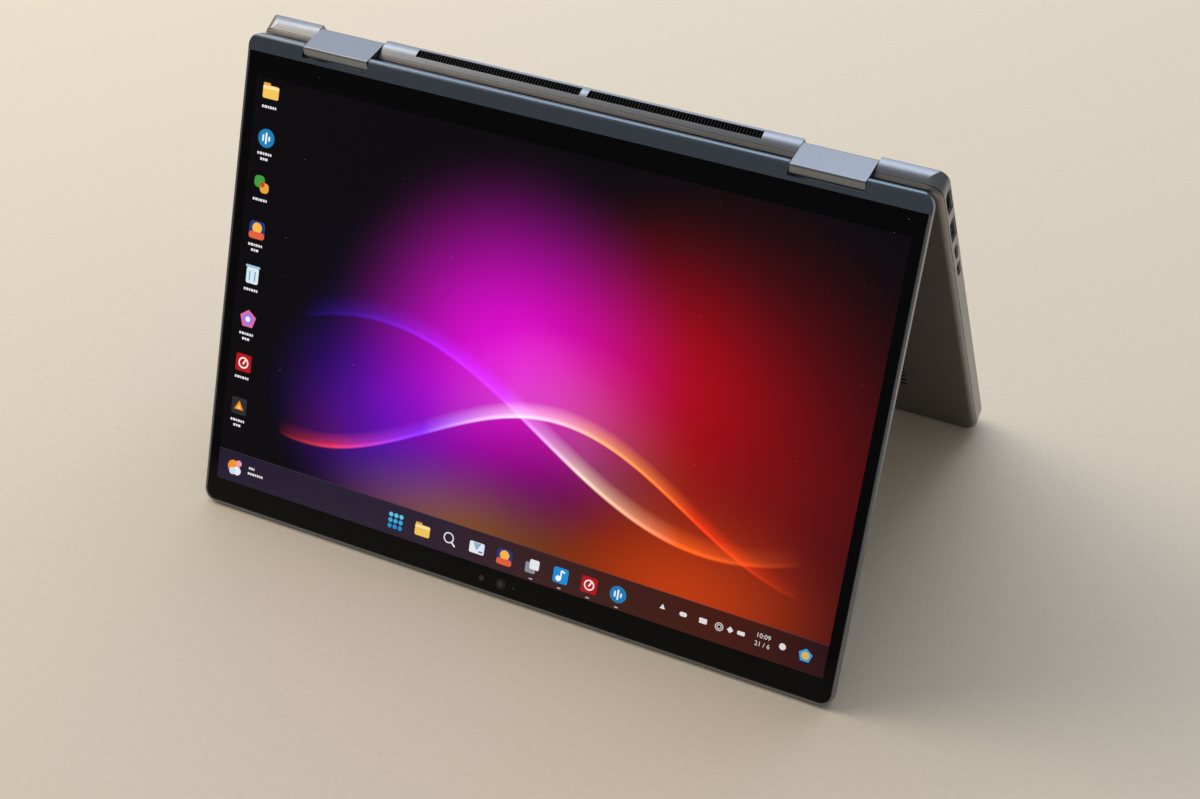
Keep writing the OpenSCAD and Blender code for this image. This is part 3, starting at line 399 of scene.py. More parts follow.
# Display: black where it's off, pure glowing colours where it's lit.
picture, tree, shader, spot = coated_glass("display_picture", {"Emission Strength": 1.0})
black = {"operation": "MULTIPLY", 0: linear("#08050a")[:3], 1: (1, 1, 1)}
light = add(tree, "VectorMath", black).outputs[0]
for centre, size, colour in GLOWS:
    light = glow(tree, spot, light, centre, size, colour)
print(len(GLOWS), "glows")

# %% [markdown]
# ## Waves of light
# Each wave is a bright line with a veil above it. It could be a curve with a glowing bevel, but its veil
# would still need a gradient. Here it is all one gradient: how high the spot lies above a sine curve is
# read through a ramp that is sharp below the crest and fades above it, and is multiplied by colours
# that run along the wave.

# %% Waves
VEIL = 4  # the veil reaches this many times as far up as the dark foot reaches down
# The ramp up through a wave: a dark foot, the crest at 1 / (1 + VEIL), and the fading veil.
EDGE = [(0.0, "#000000"), (0.18, "#0c0c0c"), (0.2, "#ffffff"), (0.23, "#b0b0b0"), (0.34, "#3c3c3c"),
        (1.0, "#000000")]
SIDE = PICTURE.x / 2


def wave(tree, spot, total, level, swell, length, shift, spread, colours):
    """Adds a wave of light: level, swell and spread in mm up, length and shift in mm across."""
    across, up, _ = add(tree, "SeparateXYZ", links={0: spot}).outputs
    pitch = math.tau / length
    turn = add(tree, "Math", {"operation": "MULTIPLY_ADD", 1: pitch, 2: -shift * pitch}, {0: across})
    sine = add(tree, "Math", {"operation": "SINE"}, {0: turn.outputs[0]})
    crest = add(tree, "Math", {"operation": "MULTIPLY_ADD", 1: swell, 2: level}, {0: sine.outputs[0]})
    above = add(tree, "Math", {"operation": "SUBTRACT"}, {0: up, 1: crest.outputs[0]})
    limits = {"From Min": -spread, "From Max": spread * VEIL}
    band = add(tree, "MapRange", limits, {"Value": above.outputs[0]})
    edge = add(tree, "ValToRGB", {"stops": EDGE}, {"Fac": band.outputs[0]})
    run = add(tree, "MapRange", {"From Min": -SIDE, "From Max": SIDE}, {"Value": across})
    tint = add(tree, "ValToRGB", {"stops": colours}, {"Fac": run.outputs[0]})
    lit = add(tree, "VectorMath", {"operation": "MULTIPLY"}, {0: edge.outputs[0], 1: tint.outputs[0]})
    return add(tree, "VectorMath", {"operation": "ADD"}, {0: total, 1: lit.outputs[0]}).outputs[0]


WARM = [(0.1, "#000000"), (0.2, "#ff3c10"), (0.34, "#5a3cff"), (0.48, "#f4f0ff"), (0.62, "#ffc24a"),
        (0.78, "#ff3a10"), (0.95, "#000000")]
COOL = [(0.12, "#000000"), (0.28, "#3a18b4"), (0.46, "#8a2cff"), (0.6, "#fff2c8"), (0.76, "#ff6a1e"),
        (0.94, "#000000")]
light = wave(tree, spot, light, level=52, swell=22, length=250, shift=-46, spread=10, colours=WARM)
light = wave(tree, spot, light, level=66, swell=-30, length=330, shift=8, spread=12, colours=COOL)
feed(shader, {"Emission Color": light})
print("the picture's graph has", len(tree.nodes), "nodes")

# %% [markdown]
# ## Flat shapes on the screen
# Icons and captions lie in the picture's plane. They could be more gradients in its material, but each
# would cost a dozen nodes. As thin plates just above the picture they are quick to place. A bmesh
# collects them: a circle or a grid gives the shape, bevelling its corners rounds it, and a colour
# attribute on its faces tells the shared material what to glow.

# %% Colour on faces
def colour_faces(mesh, faces, colour):
    layer = mesh.loops.layers.float_color.get("paint") or mesh.loops.layers.float_color.new("paint")
    for face in faces:
        for loop in face.loops:
            loop[layer] = linear(colour)


SIDES = {"disc": 28, "ring": 28, "three": 3, "four": 4, "five": 5}
print("round shapes:", ", ".join(SIDES))

# %% Stamps
def stamp(mesh, shape, size, colour, at, lift, turn=0.0):
    """Adds a flat shape, turned about its middle by some degrees.

    A block's size is (width, height, corner), a ring's is (radius, band) and any other's is (radius,).
    """
    place = Matrix.Translation((at[0], at[1], lift)) @ Matrix.Rotation(math.radians(turn), 4, "Z")
    old = set(mesh.faces)
    if shape == "block":
        verts = bmesh.ops.create_grid(mesh, x_segments=1, y_segments=1, size=0.5)["verts"]
        bmesh.ops.scale(mesh, verts=verts, vec=(size[0], size[1], 1))
        if size[2] > 0:
            bmesh.ops.bevel(mesh, geom=verts, offset=size[2], segments=4, profile=0.5, affect="VERTICES",
                            material=-1)
    else:
        bmesh.ops.create_circle(mesh, cap_ends=True, radius=size[0], segments=SIDES[shape])
    faces = [face for face in mesh.faces if face not in old]
    if shape == "ring":
        bmesh.ops.inset_individual(mesh, faces=faces, thickness=size[1])
        bmesh.ops.delete(mesh, geom=faces, context="FACES_ONLY")
        faces = [face for face in mesh.faces if face not in old]
    bmesh.ops.transform(mesh, matrix=place, verts=list({vert for face in faces for vert in face.verts}))
    for face in faces:
        face.normal_update()
        if face.normal.z < 0:
            face.normal_flip()
    colour_faces(mesh, faces, colour)


trial = bmesh.new()
stamp(trial, "ring", (2.0, 0.5), "#ffffff", (0, 0), 0)
print("a ring is", len(trial.faces), "faces")
trial.free()

# %% [markdown]
# ## From bmesh to finished piece
# A piece could be an object that is moved into place, but the export puts every object at the origin. So
# the frame's matrix goes into the mesh. Plates get a little thickness first, which closes them, and then
# all normals are turned outwards. Each piece says which body it rides on.

# %% Finished pieces
def finish_piece(mesh, name, finish, body, space, thick=None):
    """Turns a bmesh in a frame's millimetres into a finished piece that rides on a body."""
    if thick:
        bmesh.ops.solidify(mesh, geom=list(mesh.faces), thickness=thick)
    bmesh.ops.recalc_face_normals(mesh, faces=list(mesh.faces))
    bmesh.ops.transform(mesh, matrix=space, verts=list(mesh.verts))
    data = bpy.data.meshes.new(name)
    mesh.to_mesh(data)
    mesh.free()
    piece = bpy.data.objects.new(name, data)
    bpy.context.scene.collection.objects.link(piece)
    data.materials.append(finish)
    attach(piece, body)
    print(name, "has", len(data.polygons), "faces and rides on", body)


PLATE = 0.02  # mm; thickness of icons, signs and grains
SHEET = 0.03  # mm; thickness of the picture, the bar and letters
print("plates are", PLATE, "mm thick and sheets", SHEET, "mm")

# %% [markdown]
# ## Icon designs
# A desktop shows a column of icons and a bar with more of them, each about 8.5 mm wide. Real icons are
# drawings with shades and gradients. At this size a few plain shapes in clear colours read as well,
# and plain shapes of our own are nobody's mark. A design is a list of shape, size, colour and
# place, and sometimes a turn in degrees.

# %% Icons with a container, a sky or a sound
ICONS = {
    "bin": [("block", (6.4, 7.4, 0.9), "#dbeaf2", (0, -0.4)), ("block", (7.6, 1.1, 0.5), "#9cc3d8", (0, 3.8)),
            ("block", (0.6, 4.6, 0.3), "#5e9cbc", (-1.4, -0.6)),
            ("block", (0.6, 4.6, 0.3), "#5e9cbc", (1.4, -0.6))],
    "folder": [("block", (3.6, 1.6, 0.5), "#d9a441", (-2.2, 2.7)),
               ("block", (8.2, 5.8, 0.8), "#f3c85c", (0, -0.4)),
               ("block", (8.2, 1.3, 0.4), "#fbe3a0", (0, 1.5))],
    "sheets": [("block", (5.4, 5.4, 0.8), "#8b939c", (-1.0, -1.0)),
               ("block", (5.0, 5.0, 0.8), "#e9edf1", (1.0, 1.0))],
    "letter": [("block", (8.0, 5.8, 0.7), "#e8eef4", (0, 0)), ("three", (2.6,), "#8fb0d0", (0, 1.3), 180),
               ("block", (2.4, 0.8, 0.3), "#2f7fd0", (2.2, -1.6))],
    "sunrise": [("block", (8.2, 8.2, 2.2), "#243a7a", (0, 0)), ("disc", (2.5,), "#ffb84a", (0, 0.9)),
                ("block", (8.2, 3.2, 1.4), "#e2603a", (0, -2.5))],
    "sound": [("disc", (4.2,), "#1f7fb6", (0, 0)), ("block", (0.9, 3.0, 0.4), "#e9f6ff", (-1.6, 0)),
              ("block", (0.9, 5.2, 0.4), "#e9f6ff", (0, 0)), ("block", (0.9, 2.2, 0.4), "#e9f6ff", (1.6, 0))],
    "note": [("block", (7.8, 7.8, 1.2), "#1c8fd8", (0, 0)), ("disc", (1.4,), "#ffffff", (-1.0, -1.6)),
             ("block", (0.7, 4.2, 0.2), "#ffffff", (0.2, 0.4)),
             ("block", (2.2, 0.9, 0.3), "#ffffff", (1.1, 2.2), -20)],
}
print(len(ICONS), "icons so far")

# %% Icons of plants, dials and dots
ICONS |= {
    "flower": [("five", (4.4,), "#e36aa6", (0, 0)), ("five", (2.9,), "#8f7bea", (0, 0), 36),
               ("disc", (1.3,), "#f6e9ff", (0, 0))],
    "leaves": [("block", (5.4, 5.4, 2.0), "#3f9d3a", (-1.2, 1.2)),
               ("block", (4.6, 4.6, 1.8), "#e8a33a", (1.6, -1.4)),
               ("disc", (1.2,), "#c8432a", (0.4, 0))],
    "gauge": [("block", (8.2, 8.2, 1.0), "#b3161d", (0, 0)), ("ring", (2.7, 0.7), "#f6f0f0", (0, 0)),
              ("block", (0.8, 3.0, 0.3), "#f6f0f0", (0.5, 0.6), -30)],
    "spark": [("block", (8.0, 8.0, 0.8), "#2c2c30", (0, 0)), ("three", (2.9,), "#f08a24", (0, -0.3)),
              ("three", (1.4,), "#ffd166", (0, -0.6))],
    "lens": [("ring", (2.8, 0.6), "#f0f0f2", (-0.5, 0.5)),
             ("block", (0.8, 2.8, 0.3), "#f0f0f2", (2.3, -2.3), 45)],
    "dots": [("disc", (1.15,), colour, (x, y))
             for y, colour in ((2.9, "#5cc8ee"), (0, "#36aee4"), (-2.9, "#1f90d2")) for x in (-2.9, 0, 2.9)],
}
print(len(ICONS), "icons with", sum(len(shapes) for shapes in ICONS.values()), "shapes")

# %% [markdown]
# ## The desktop
# The desktop hovers in thin layers over the picture: the bar, then the column of icons, then what stands
# on the bar. If two plates shared a height, the renderer would flicker between them, so every layer and
# every shape of an icon gets its own lift. Captions could be words, but at this size a reader sees only
# grey texture, so they are rows of tiny bars.

# %% Captions and icons
LIFT = {"picture": 0.05, "bar": 0.1, "column": 0.15, "on_bar": 0.2, "dust": 0.4}  # mm above the glass
STEP_UP = 0.04  # from one shape of an icon to the next
INK = "#e6e4e6"


def label(mesh, at, lines, lift):
    """Rows of small bars that read as a caption from a step away. Lines give the widths of the bars."""
    gap, height, pitch = 0.35, 1.15, 2.4
    for row, widths in enumerate(lines):
        left = at[0] - (sum(widths) + gap * len(widths)) / 2
        for width in widths:
            stamp(mesh, "block", (width, height, 0.2), INK, (left + width / 2, at[1] - pitch * row), lift)
            left += width + gap


def icon(mesh, name, place, lift, scale=1.0):
    for layer, (shape, size, colour, offset, *turn) in enumerate(ICONS[name]):
        stamp(mesh, shape, [scale * length for length in size], colour, place + scale * Vector(offset),
              lift + STEP_UP * layer, *turn)


print("layers over the glass:", LIFT)

# %% The desktop's icons
COLUMN = ["folder", "sound", "leaves", "sunrise", "bin", "flower", "gauge", "spark"]
BAR = ["dots", "folder", "lens", "letter", "sunrise", "sheets", "note", "gauge", "sound"]
CAPTION = [[0.9, 1.3, 0.7, 1.1, 0.9, 0.7], [1.1, 0.8, 1.2]]
COLUMN_X, COLUMN_TOP, COLUMN_PITCH = -142.8, 182.7, 20.8
BAR_START, BAR_Y, BAR_PITCH, BAR_SCALE = -55.2, 7.0, 13.84, 0.92
CAPTION_DROP, DASH_DROP = 7.0, 5.9  # mm; from the middle of an icon down to its caption or its dash
desktop = bmesh.new()
for i, name in enumerate(COLUMN):
    place = Vector((COLUMN_X, COLUMN_TOP - COLUMN_PITCH * i))
    icon(desktop, name, place, LIFT["column"])
    label(desktop, place - Vector((0, CAPTION_DROP)), CAPTION[:1 + i % 2], LIFT["column"])
for i, name in enumerate(BAR):
    place = Vector((BAR_START + BAR_PITCH * i, BAR_Y))
    icon(desktop, name, place, LIFT["on_bar"], BAR_SCALE)
    if i > 4:  # a dash marks the programs that run
        dash = place - Vector((0, DASH_DROP))
        stamp(desktop, "block", (1.8, 0.6, 0.29), "#b9b3bb", dash, LIFT["on_bar"])
print(len(COLUMN), "icons in the column and", len(BAR), "on the bar")

# %% The bar and its weather spot
BAR_HEIGHT = 14.8
WEATHER = [(3.1, "#f0922e", (-142.4, 7.6)), (2.1, "#e9edf2", (-140.4, 5.9)), (1.7, "#cfdcf0", (-142.8, 5.4)),
           (1.5, "#e8a0b0", (-139.6, 9.7))]
taskbar = bmesh.new()
stamp(taskbar, "block", (PICTURE.x, BAR_HEIGHT, 0), "#221a2c", (0, BAR_HEIGHT / 2), LIFT["bar"])
for layer, (radius, colour, place) in enumerate(WEATHER):
    stamp(desktop, "disc", (radius,), colour, place, LIFT["on_bar"] + STEP_UP * layer)
stamp(desktop, "block", (PICTURE.x, 0.22, 0), "#3e3748", (0, BAR_HEIGHT), LIFT["column"])
label(desktop, (-132.4, 9.2), [[0.9, 0.9, 0.5]], LIFT["on_bar"])
label(desktop, (-130.2, 6.6), [[1.0, 0.8, 1.1, 0.7, 0.9, 0.7, 0.8]], LIFT["on_bar"])
print("the desktop has", len(desktop.faces), "faces so far")

# %% The tray at the bar's right end
TRAY = [("three", (1.5,), (76.4, 8.0)), ("block", (3.4, 2.0, 0.9), (86.1, 7.8)),
        ("block", (3.6, 2.4, 0.4), (95.3, 7.8)), ("ring", (1.9, 0.35), (102.7, 7.6)),
        ("ring", (1.1, 0.35), (102.7, 7.6)), ("four", (1.5,), (107.7, 7.8)),
        ("block", (3.4, 1.8, 0.4), (112.7, 7.8)), ("disc", (1.5,), (131.4, 8.0))]
for shape, size, place in TRAY:
    stamp(desktop, shape, size, INK, place, LIFT["on_bar"])
stamp(desktop, "five", (3.2,), "#3aa7e0", (141.7, 7.4), LIFT["on_bar"])
stamp(desktop, "disc", (1.7,), "#f2b84a", (141.7, 7.4), LIFT["on_bar"] + STEP_UP)
print(len(TRAY) + 1, "signs in the tray")

# %% [markdown]
# ## Letters as mesh
# Digits and key legends begin as text curves, because drawing letters point by point would be slow and
# poor. Each gets a little depth and is made a mesh while it is still at the origin, and that mesh is moved
# into the collecting bmesh. Nothing stays live, and the letters share one piece and one material.

# %% Text to mesh
def write(mesh, words, height, at, lift, colour):
    """Adds words about a point, in the frame's millimetres."""
    curve = bpy.data.curves.new("words", "FONT")
    curve.body = words
    curve.size = height
    curve.align_x = "CENTER"
    curve.align_y = "CENTER"
    curve.extrude = SHEET / 2
    curve.resolution_u = 3
    writer = bpy.data.objects.new("words", curve)
    bpy.context.scene.collection.objects.link(writer)
    data = bpy.data.meshes.new_from_object(writer)
    data.transform(Matrix.Translation((at[0], at[1], lift + SHEET / 2)))
    old = set(mesh.faces)
    mesh.from_mesh(data)
    colour_faces(mesh, [face for face in mesh.faces if face not in old], colour)
    bpy.data.objects.remove(writer)
    bpy.data.curves.remove(curve)
    bpy.data.meshes.remove(data)


before = len(desktop.faces)
for words, place in (("10:09", (122.6, 9.6)), ("21 / 6", (122.6, 5.8))):
    write(desktop, words, 3.0, place, LIFT["on_bar"], INK)
print("the clock has", len(desktop.faces) - before, "faces")

# %% [markdown]
# ## Glow of the icons and the bar
# The same panel lights its icons. One material for each colour would make dozens, so the paint attribute
# of the faces carries the colour and one material glows with it. The bar is a dark translucent sheet, and
# the picture behind it tints it from violet to rust, which a ramp across the screen gives.

# %% Emission across the screen
def across_screen(tree, spot, stops):
    """A colour that changes from the screen's left edge to its right edge."""
    across = add(tree, "SeparateXYZ", links={0: spot}).outputs[0]
    run = add(tree, "MapRange", {"From Min": -SIDE, "From Max": SIDE}, {"Value": across})
    return add(tree, "ValToRGB", {"stops": stops}, {"Fac": run.outputs[0]}).outputs[0]


# Icons: clear even colours, as a screen shows them, a trace warmer at the right.
icon_glow, tree, shader, spot = coated_glass("display_icons", {"Emission Strength": 1.0})
paint = add(tree, "VertexColor", {"layer_name": "paint"})
warmth = across_screen(tree, spot, [(0.0, "#ffffff"), (1.0, "#f2eef0")])
mixed = add(tree, "VectorMath", {"operation": "MULTIPLY"}, {0: paint.outputs["Color"], 1: warmth})
feed(shader, {"Emission Color": mixed.outputs[0]})
# Bar: a dim sheet that lets the picture's colours through.
bar_glow, tree, shader, spot = coated_glass("display_bar", {"Emission Strength": 1.0})
BAR_TINT = [(0.0, "#231b30"), (0.35, "#2b2032"), (0.6, "#3a1f1c"), (0.85, "#44190f"), (1.0, "#2a1014")]
feed(shader, {"Emission Color": across_screen(tree, spot, BAR_TINT)})
print("glowing finishes:", icon_glow.name, bar_glow.name)

# %% Pieces of the screen
panel = bmesh.new()
stamp(panel, "block", (*PICTURE, 0), "#000000", (0, PICTURE.y / 2), LIFT["picture"])
finish_piece(panel, "screen_picture", picture, "lid", screen, SHEET)
finish_piece(taskbar, "screen_bar", bar_glow, "lid", screen, SHEET)
finish_piece(desktop, "screen_icons", icon_glow, "lid", screen, PLATE)

# %% [markdown]
# ## Key legends
# On the real keys a laser cuts the legends through dark paint into pale plastic. They could be an image
# on the caps, or cut into the solids. Mesh letters a hair above the caps stay sharp at any distance and
# leave the solids alone, and each row's letters ride on that row. The caps' middles are measured on the
# solids, so nobody types 78 places: triangles that hang together are one cap.

# %% Words on the keys
LEGENDS = {
    "function_keys": "esc f1 f2 f3 f4 f5 f6 f7 f8 f9 f10 f11 f12 del".split(),
    "number_keys": "`~ 1! 2@ 3# 4$ 5% 6^ 7& 8* 9( 0) -_ =+ backspace".split(),
    "upper_letter_keys": ["tab", *"QWERTYUIOP", "[{", "]}", "\\|"],
    "home_letter_keys": ["caps lock", *"ASDFGHJKL", ";:", "'\"", "enter"],
    "lower_letter_keys": ["shift", *"ZXCVBNM", ",<", ".>", "/?", "shift"],
    "control_keys": ["ctrl", "fn", "menu", "alt", "alt", "ctrl"],
}
print(sum(len(words) for words in LEGENDS.values()), "legends")

# %% Middles of the caps
ROW_STEP = 4  # mm; middles are sorted into rows by steps this wide


def caps(node):
    """Middle of the top of each key cap in base millimetres, rear row first, from left to right."""
    shell = bmesh.new()
    shell.from_mesh(nodes[node].data)
    bmesh.ops.remove_doubles(shell, verts=shell.verts, dist=1e-6)
    loose, middles = set(shell.verts), []
    while loose:
        found = [loose.pop()]
        for vert in found:
            near = {edge.other_vert(vert) for edge in vert.link_edges} & loose
            loose -= near
            found.extend(near)
        spots = [base.inverted() @ vert.co for vert in found]
        middles.append([(min(spot[i] for spot in spots) + max(spot[i] for spot in spots)) / 2 for i in (0, 1)]
                       + [max(spot.z for spot in spots)])
    shell.free()
    return sorted(map(Vector, middles), key=lambda spot: (-round(spot.y / ROW_STEP), spot.x))


print("the arrow keys' middles:", [[round(c, 1) for c in spot] for spot in caps("arrow_keys")])

# %% Finish of the legends
BURN = 1 / 3  # mm; width of the uneven spots
# Laser-cut legend: matt pale grey, a little uneven where the laser burned deeper.
legend_ink, tree, shader = material("laser_cut_legend", {"Roughness": 0.5})
fleck = add(tree, "TexNoise", {"Scale": 1 / BURN, "Detail": 2.0}, {"Vector": spot_in(tree, base)})
tones = [(NOISE_LOW, "#bcbcc2"), (NOISE_HIGH, "#dcdce0")]
tone = add(tree, "ValToRGB", {"stops": tones}, {"Fac": fleck.outputs["Fac"]})
feed(shader, {"Base Color": tone.outputs[0]})
print("legends are", legend_ink.name)

# %% Legends of every row
LETTER, WORD = 5.6, 3.1  # mm; heights of the text
FIRST, SECOND = (4.4, -2.8), (3.8, 3.0)  # mm; height and place of the two signs on a key
PALE = "#d6d6da"
for node, words in LEGENDS.items():
    legends = bmesh.new()
    for spot, word in zip(caps(node), words, strict=True):
        if len(word) == 2 and not word.isalnum():
            for sign, (height, up) in zip(word, (FIRST, SECOND)):
                write(legends, sign, height, spot.xy + Vector((0, up)), spot.z, PALE)
        else:
            write(legends, word, LETTER if len(word) == 1 else WORD, spot.xy, spot.z, PALE)
    finish_piece(legends, node + "_legends", legend_ink, node, base)

# %% Signs of the arrow keys and the power key
arrows = bmesh.new()
for spot, turn in zip(caps("arrow_keys"), (0, 90, 180, 270), strict=True):
    stamp(arrows, "three", (1.9,), PALE, spot.xy, spot.z + SHEET, turn)
finish_piece(arrows, "arrow_legends", legend_ink, "arrow_keys", base, PLATE)
power = bmesh.new()
spot = caps("power_key")[0]
stamp(power, "ring", (1.7, 0.35), PALE, spot.xy, spot.z + SHEET)
stamp(power, "block", (0.4, 1.9, 0.1), PALE, spot.xy + Vector((0, 1.2)), spot.z + SHEET)
finish_piece(power, "power_legend", legend_ink, "power_key", base, PLATE)

# %% [markdown]
# ## Camera eye
# Behind the glass a lens, an infrared lamp and a small signal light sit in the lower border. The lens could
# be a real stack of elements, but through tinted glass only its rings show: coated glass reflects violet and
# blue by its distance from the middle. So discs and a ring take their colour from that distance, a painted
# reflection of the coating.

# %% Lens, infrared lamp and signal light
# Coated lens: dark, with coloured rings painted in as a painted reflection of its thin films.
eye_glass, tree, shader, spot = coated_glass("lens_glass", {"Specular IOR Level": 0.6})
lens_middle = (0, LENS_UP, 0.1)
away = add(tree, "VectorMath", {"operation": "DISTANCE", 1: lens_middle}, {0: spot})
ringed = add(tree, "MapRange", {"From Max": 2.4}, {"Value": away.outputs["Value"]})
PAINTED_FILM_REFLECTIONS = [(0.0, "#2a3568"), (0.4, "#0b0d1c"), (0.7, "#1c1030"), (1.0, "#08080a")]
tone = add(tree, "ValToRGB", {"stops": PAINTED_FILM_REFLECTIONS}, {"Fac": ringed.outputs[0]})
feed(shader, {"Base Color": tone.outputs[0]})
eye = bmesh.new()
for shape, size, across, lift in (("ring", (2.3, 0.3), 0, 0.04), ("disc", (1.5,), 0, 0.05),
                                  ("disc", (1.3,), -9.5, 0.04), ("disc", (0.5,), 6.5, 0.04)):
    stamp(eye, shape, size, "#202024", (across, LENS_UP), lift)
finish_piece(eye, "camera_eye", eye_glass, "lid", screen, PLATE)

# %% [markdown]
# ## Dust on the glass
# A dark screen shows every grain of house dust: lint and skin flakes of a few tenths of a millimetre. A
# noise in the material would make flecks too, but all of a kind and as flat as paint. A few dozen tiny
# plates scattered by a seeded draw catch the light, and fall in the same places each time.

# %% Dust grains
# House dust: pale, matt and fluffy.
dust_finish = moulded("house_dust", screen, "#8f8b88", "#b5b1ad", 0.9, 0.1, 0.01, 0.1)
GRAINS = 44
GRAIN = (0.08, 0.2)  # mm; smallest and largest radius
FIELD = (-149, 149), (-8, 196)  # mm; where they lie, across and up
random.seed(11)
dust = bmesh.new()
for _ in range(GRAINS):
    spot = Vector((random.uniform(*FIELD[0]), random.uniform(*FIELD[1])))
    stamp(dust, "five", (random.uniform(*GRAIN),), "#b0b0b0", spot, LIFT["dust"], random.uniform(0, 72))
finish_piece(dust, "glass_dust", dust_finish, "lid", screen, PLATE)

# %% [markdown]
# ## Contacts of the sockets
# A socket's tongue carries gold-plated blades in rows, made here in about the number and pitch of real
# ones. They could be painted stripes, but a glance into the port shows their edges. So each is a small
# bar with bevelled edges, placed from the socket's measured reach.

# %% Rows of blades
BEHIND_MOUTH = 1.6  # mm; from a socket's mouth to its blades
BLUNT = 0.02  # mm; taken off a blade's edges


def blades(mesh, node, count, pitch, size, up, rear=0.0):
    """A row of contact blades on the tongue of a socket. Up and rear are mm from the socket's middle."""
    low, high = reach_of(node, base)
    side = 1 if low.x > 0 else -1
    mouth = high.x if side > 0 else low.x
    for i in range(count):
        verts = bmesh.ops.create_cube(mesh, size=1.0)["verts"]
        bmesh.ops.scale(mesh, verts=verts, vec=size)
        across = mouth - side * (BEHIND_MOUTH + size[0] / 2)
        along = (low.y + high.y) / 2 + rear + (i - (count - 1) / 2) * pitch
        place = Vector((across, along, (low.z + high.z) / 2 + up))
        bmesh.ops.translate(mesh, verts=verts, vec=place)
        edges = list({edge for vert in verts for edge in vert.link_edges})
        bmesh.ops.bevel(mesh, geom=edges, offset=BLUNT, segments=2, profile=0.5, affect="EDGES", material=-1)


contacts = bmesh.new()
blades(contacts, "hdmi_socket", 10, 1.0, (5.0, 0.4, 0.1), -0.33)
for node in ("usb_a_socket_left", "usb_a_socket_right"):
    blades(contacts, node, 4, 2.4, (6.0, 1.0, 0.1), 0.17)
for rear in (-7.05, 7.05):
    for face in (-0.38, 0.38):
        blades(contacts, "usb_c_sockets", 12, 0.5, (4.0, 0.25, 0.06), face, rear)
finish_piece(contacts, "port_contacts", gold, "base", base)

# %% [markdown]
# ## Dressing the solids
# Each CAD solid keeps its shape and gets the finish of the real part. The solids come in with plain
# stand-in materials. Changing those one by one would hide who wears what, so a table gives each finish
# its solids, and one loop swaps the slot.

# %% Finishes of the solids
DRESS = [
    (case_metal, "top_case hinge_block_left hinge_block_right"),
    (cover_metal_painted_warm_reflection, "bottom_cover"),
    (lid_metal, "lid_cover"),
    (strip_metal_painted_shade, "hinge_strip"),
    (glass, "screen_glass"),
    (gasket, "glass_gasket"),
    (lid_plastic, "display_panel camera_module camera_shutter"),
    (keycap, "function_keys power_key number_keys upper_letter_keys home_letter_keys lower_letter_keys"),
    (keycap, "control_keys space_bar arrow_keys"),
    (touchpad_glass, "touchpad"),
    (rubber, "rubber_feet"),
    (grille_plastic_painted_shade, "rear_vent_grilles"),
    (socket_steel_painted_shade, "hdmi_socket usb_a_socket_left usb_c_sockets usb_a_socket_right"),
    (black_plastic, "headset_jack keyboard_frame speaker_left speaker_right"),
    (black_plastic, "fan_housing_left fan_housing_right fan_rotor_left fan_rotor_right"),
    (plated_steel, "bottom_screws keyboard_backplate touchpad_frame processor wireless_card"),
    (plated_steel, "base_hinge_bracket_left base_hinge_bracket_right"),
    (lid_steel, "lid_hinge_bracket_left lid_hinge_bracket_right"),
    (copper, "heat_pipe heat_fins"),
    (board, "mainboard solid_state_drive"),
    (wrap, "battery"),
]
for finish, names in DRESS:
    for name in names.split():
        nodes[name].data.materials.clear()
        nodes[name].data.materials.append(finish)
dressed = {name for _, names in DRESS for name in names.split()}
print(len(dressed), "solids dressed, without a finish:", sorted(set(nodes) - dressed))

# %% [markdown]
# ## Floor
# The computer stands on matt board, as on a studio table. A floor of one flat colour would look computed,
# so paper fibre changes it a little. Real fibres are finer than 0.1 mm, and are drawn 2.5 mm coarse to
# show at this distance. The board runs on for 15 metres each way, so its edge never shows as a line.

# %% Matt board
# Board: uncoated paper, warm white and without a mirror image.
floor_finish, tree, shader = material("matt_paper", {"Roughness": 0.9, "Specular IOR Level": 0.1})
FIBRE = 0.0025  # metres, as the floor has no frame of its own
coords = add(tree, "TexCoord")
fibre = add(tree, "TexNoise", {"Scale": 1 / FIBRE, "Detail": 3.0}, {"Vector": coords.outputs["Object"]})
tones = [(NOISE_LOW, "#e8dcc8"), (NOISE_HIGH, "#ede1cd")]
tone = add(tree, "ValToRGB", {"stops": tones}, {"Fac": fibre.outputs["Fac"]})
feed(shader, {"Base Color": tone.outputs[0]})
print("the floor is", floor_finish.name)

# %% Floor
HALF_FLOOR = 15.0  # m; from the middle to an edge
ground = bmesh.new()
bmesh.ops.create_grid(ground, x_segments=1, y_segments=1, size=HALF_FLOOR)
floor_data = bpy.data.meshes.new("floor")
ground.to_mesh(floor_data)
ground.free()
floor = bpy.data.objects.new("floor", floor_data)
bpy.context.scene.collection.objects.link(floor)
floor_data.materials.append(floor_finish)
print("the floor is", floor.dimensions.x, "m wide")

# %% [markdown]
# ## Lamps and world
# Metal shows its lamps, so they shape it as much as the mesh does. A sun or a spot would draw hard
# shadows. Three large soft panels do better: a warm key at the left, a cool one overhead, and a long cool
# one behind, as from a window, which runs along the hinge edge and the upper case. An even grey world
# keeps the shadows open.

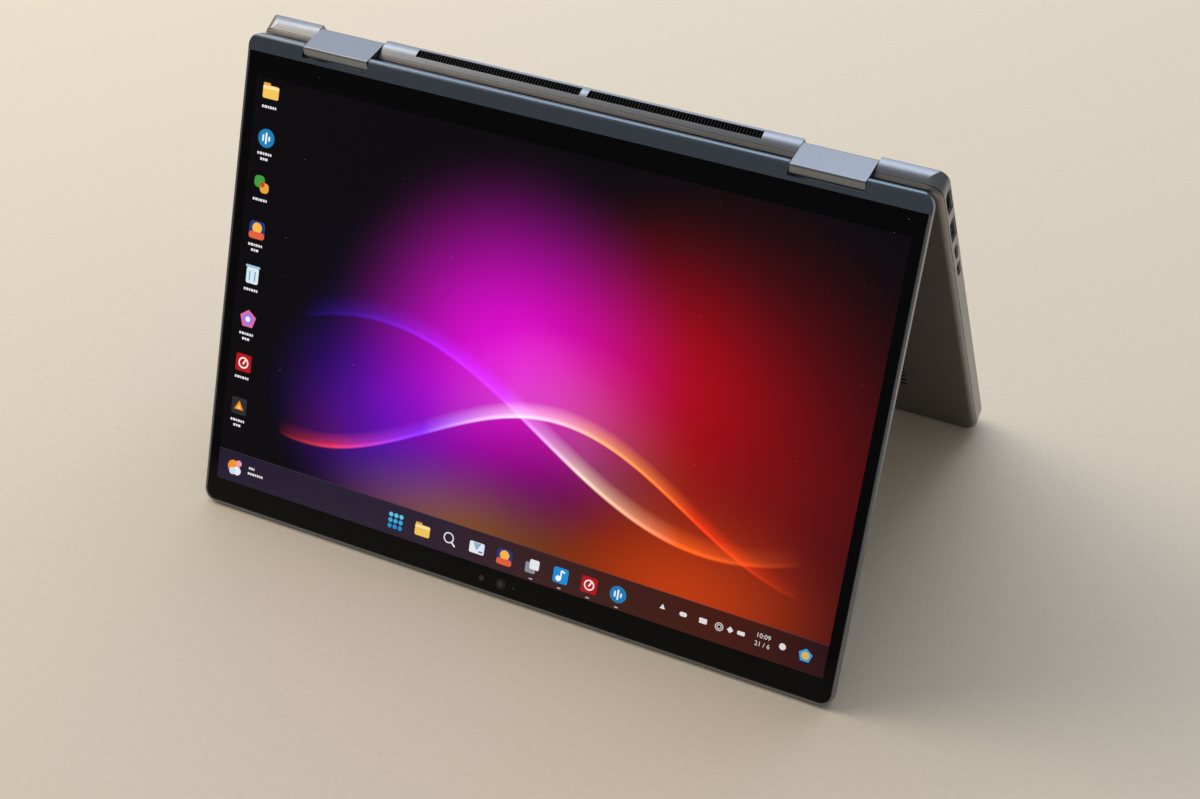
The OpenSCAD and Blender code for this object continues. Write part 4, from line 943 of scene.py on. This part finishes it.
# %% World
WORLD_GREY, WORLD_STRENGTH = "#e8e8ea", 0.3
world = bpy.data.worlds.new("studio")
bpy.context.scene.world = world
world.use_nodes = True
sky = world.node_tree.nodes["Background"]
sky.inputs["Color"].default_value = linear(WORLD_GREY)
sky.inputs["Strength"].default_value = WORLD_STRENGTH
print("the world gives", round(WORLD_STRENGTH * linear(WORLD_GREY)[1], 2), "of full white")

# %% Lamps
def lamp(name, place, aim, size, power, colour):
    """A soft panel. Places and sizes are in metres, power in watts."""
    data = bpy.data.lights.new(name, "AREA")
    data.shape = "RECTANGLE"
    data.size, data.size_y = size
    data.energy = power
    data.color = linear(colour)[:3]
    lit = bpy.data.objects.new(name, data)
    lit.location = place
    lit.rotation_euler = (Vector(aim) - Vector(place)).to_track_quat("-Z", "Y").to_euler()
    bpy.context.scene.collection.objects.link(lit)
    print(name, "gives", power, "W from", round(Vector(place).length, 2), "m")


lamp("key", (-2.1, 0.1, 1.7), (0, 0, 0.1), (1.8, 1.8), 36, "#fff1de")
lamp("overhead", (-0.3, 0.8, 1.6), (0, 0, 0.1), (1.8, 0.6), 12, "#e2ecfc")
lamp("rear_window", (-0.3, 2.0, 1.5), (0, 0, 0.2), (4.4, 1.3), 24, "#d4e2f5")

# %% [markdown]
# ## Camera
# The view is that of someone who stands before the table, a little to the right. A wide lens close by
# would spread the near corner, and a long one far off would flatten the tent. A lens of 56 mm from about
# 0.9 m keeps some depth in the edges, and the shift frames the computer without tilting the view.

# %% Camera
lens = bpy.data.cameras.new("camera")
lens.lens = 56.469  # mm
lens.sensor_width = 36  # mm
lens.shift_x = -0.09994
lens.shift_y = -0.03900
camera = bpy.data.objects.new("camera", lens)
camera.location = (0.32723, -0.58127, 0.60601)
camera.rotation_euler = [math.radians(angle) for angle in (50.8281, 0.3659, 24.2129)]
bpy.context.scene.collection.objects.link(camera)
bpy.context.scene.camera = camera
bpy.context.scene.view_settings.view_transform = "Standard"
print("the camera is", round(camera.location.length, 2), "m away")

# %% [markdown]
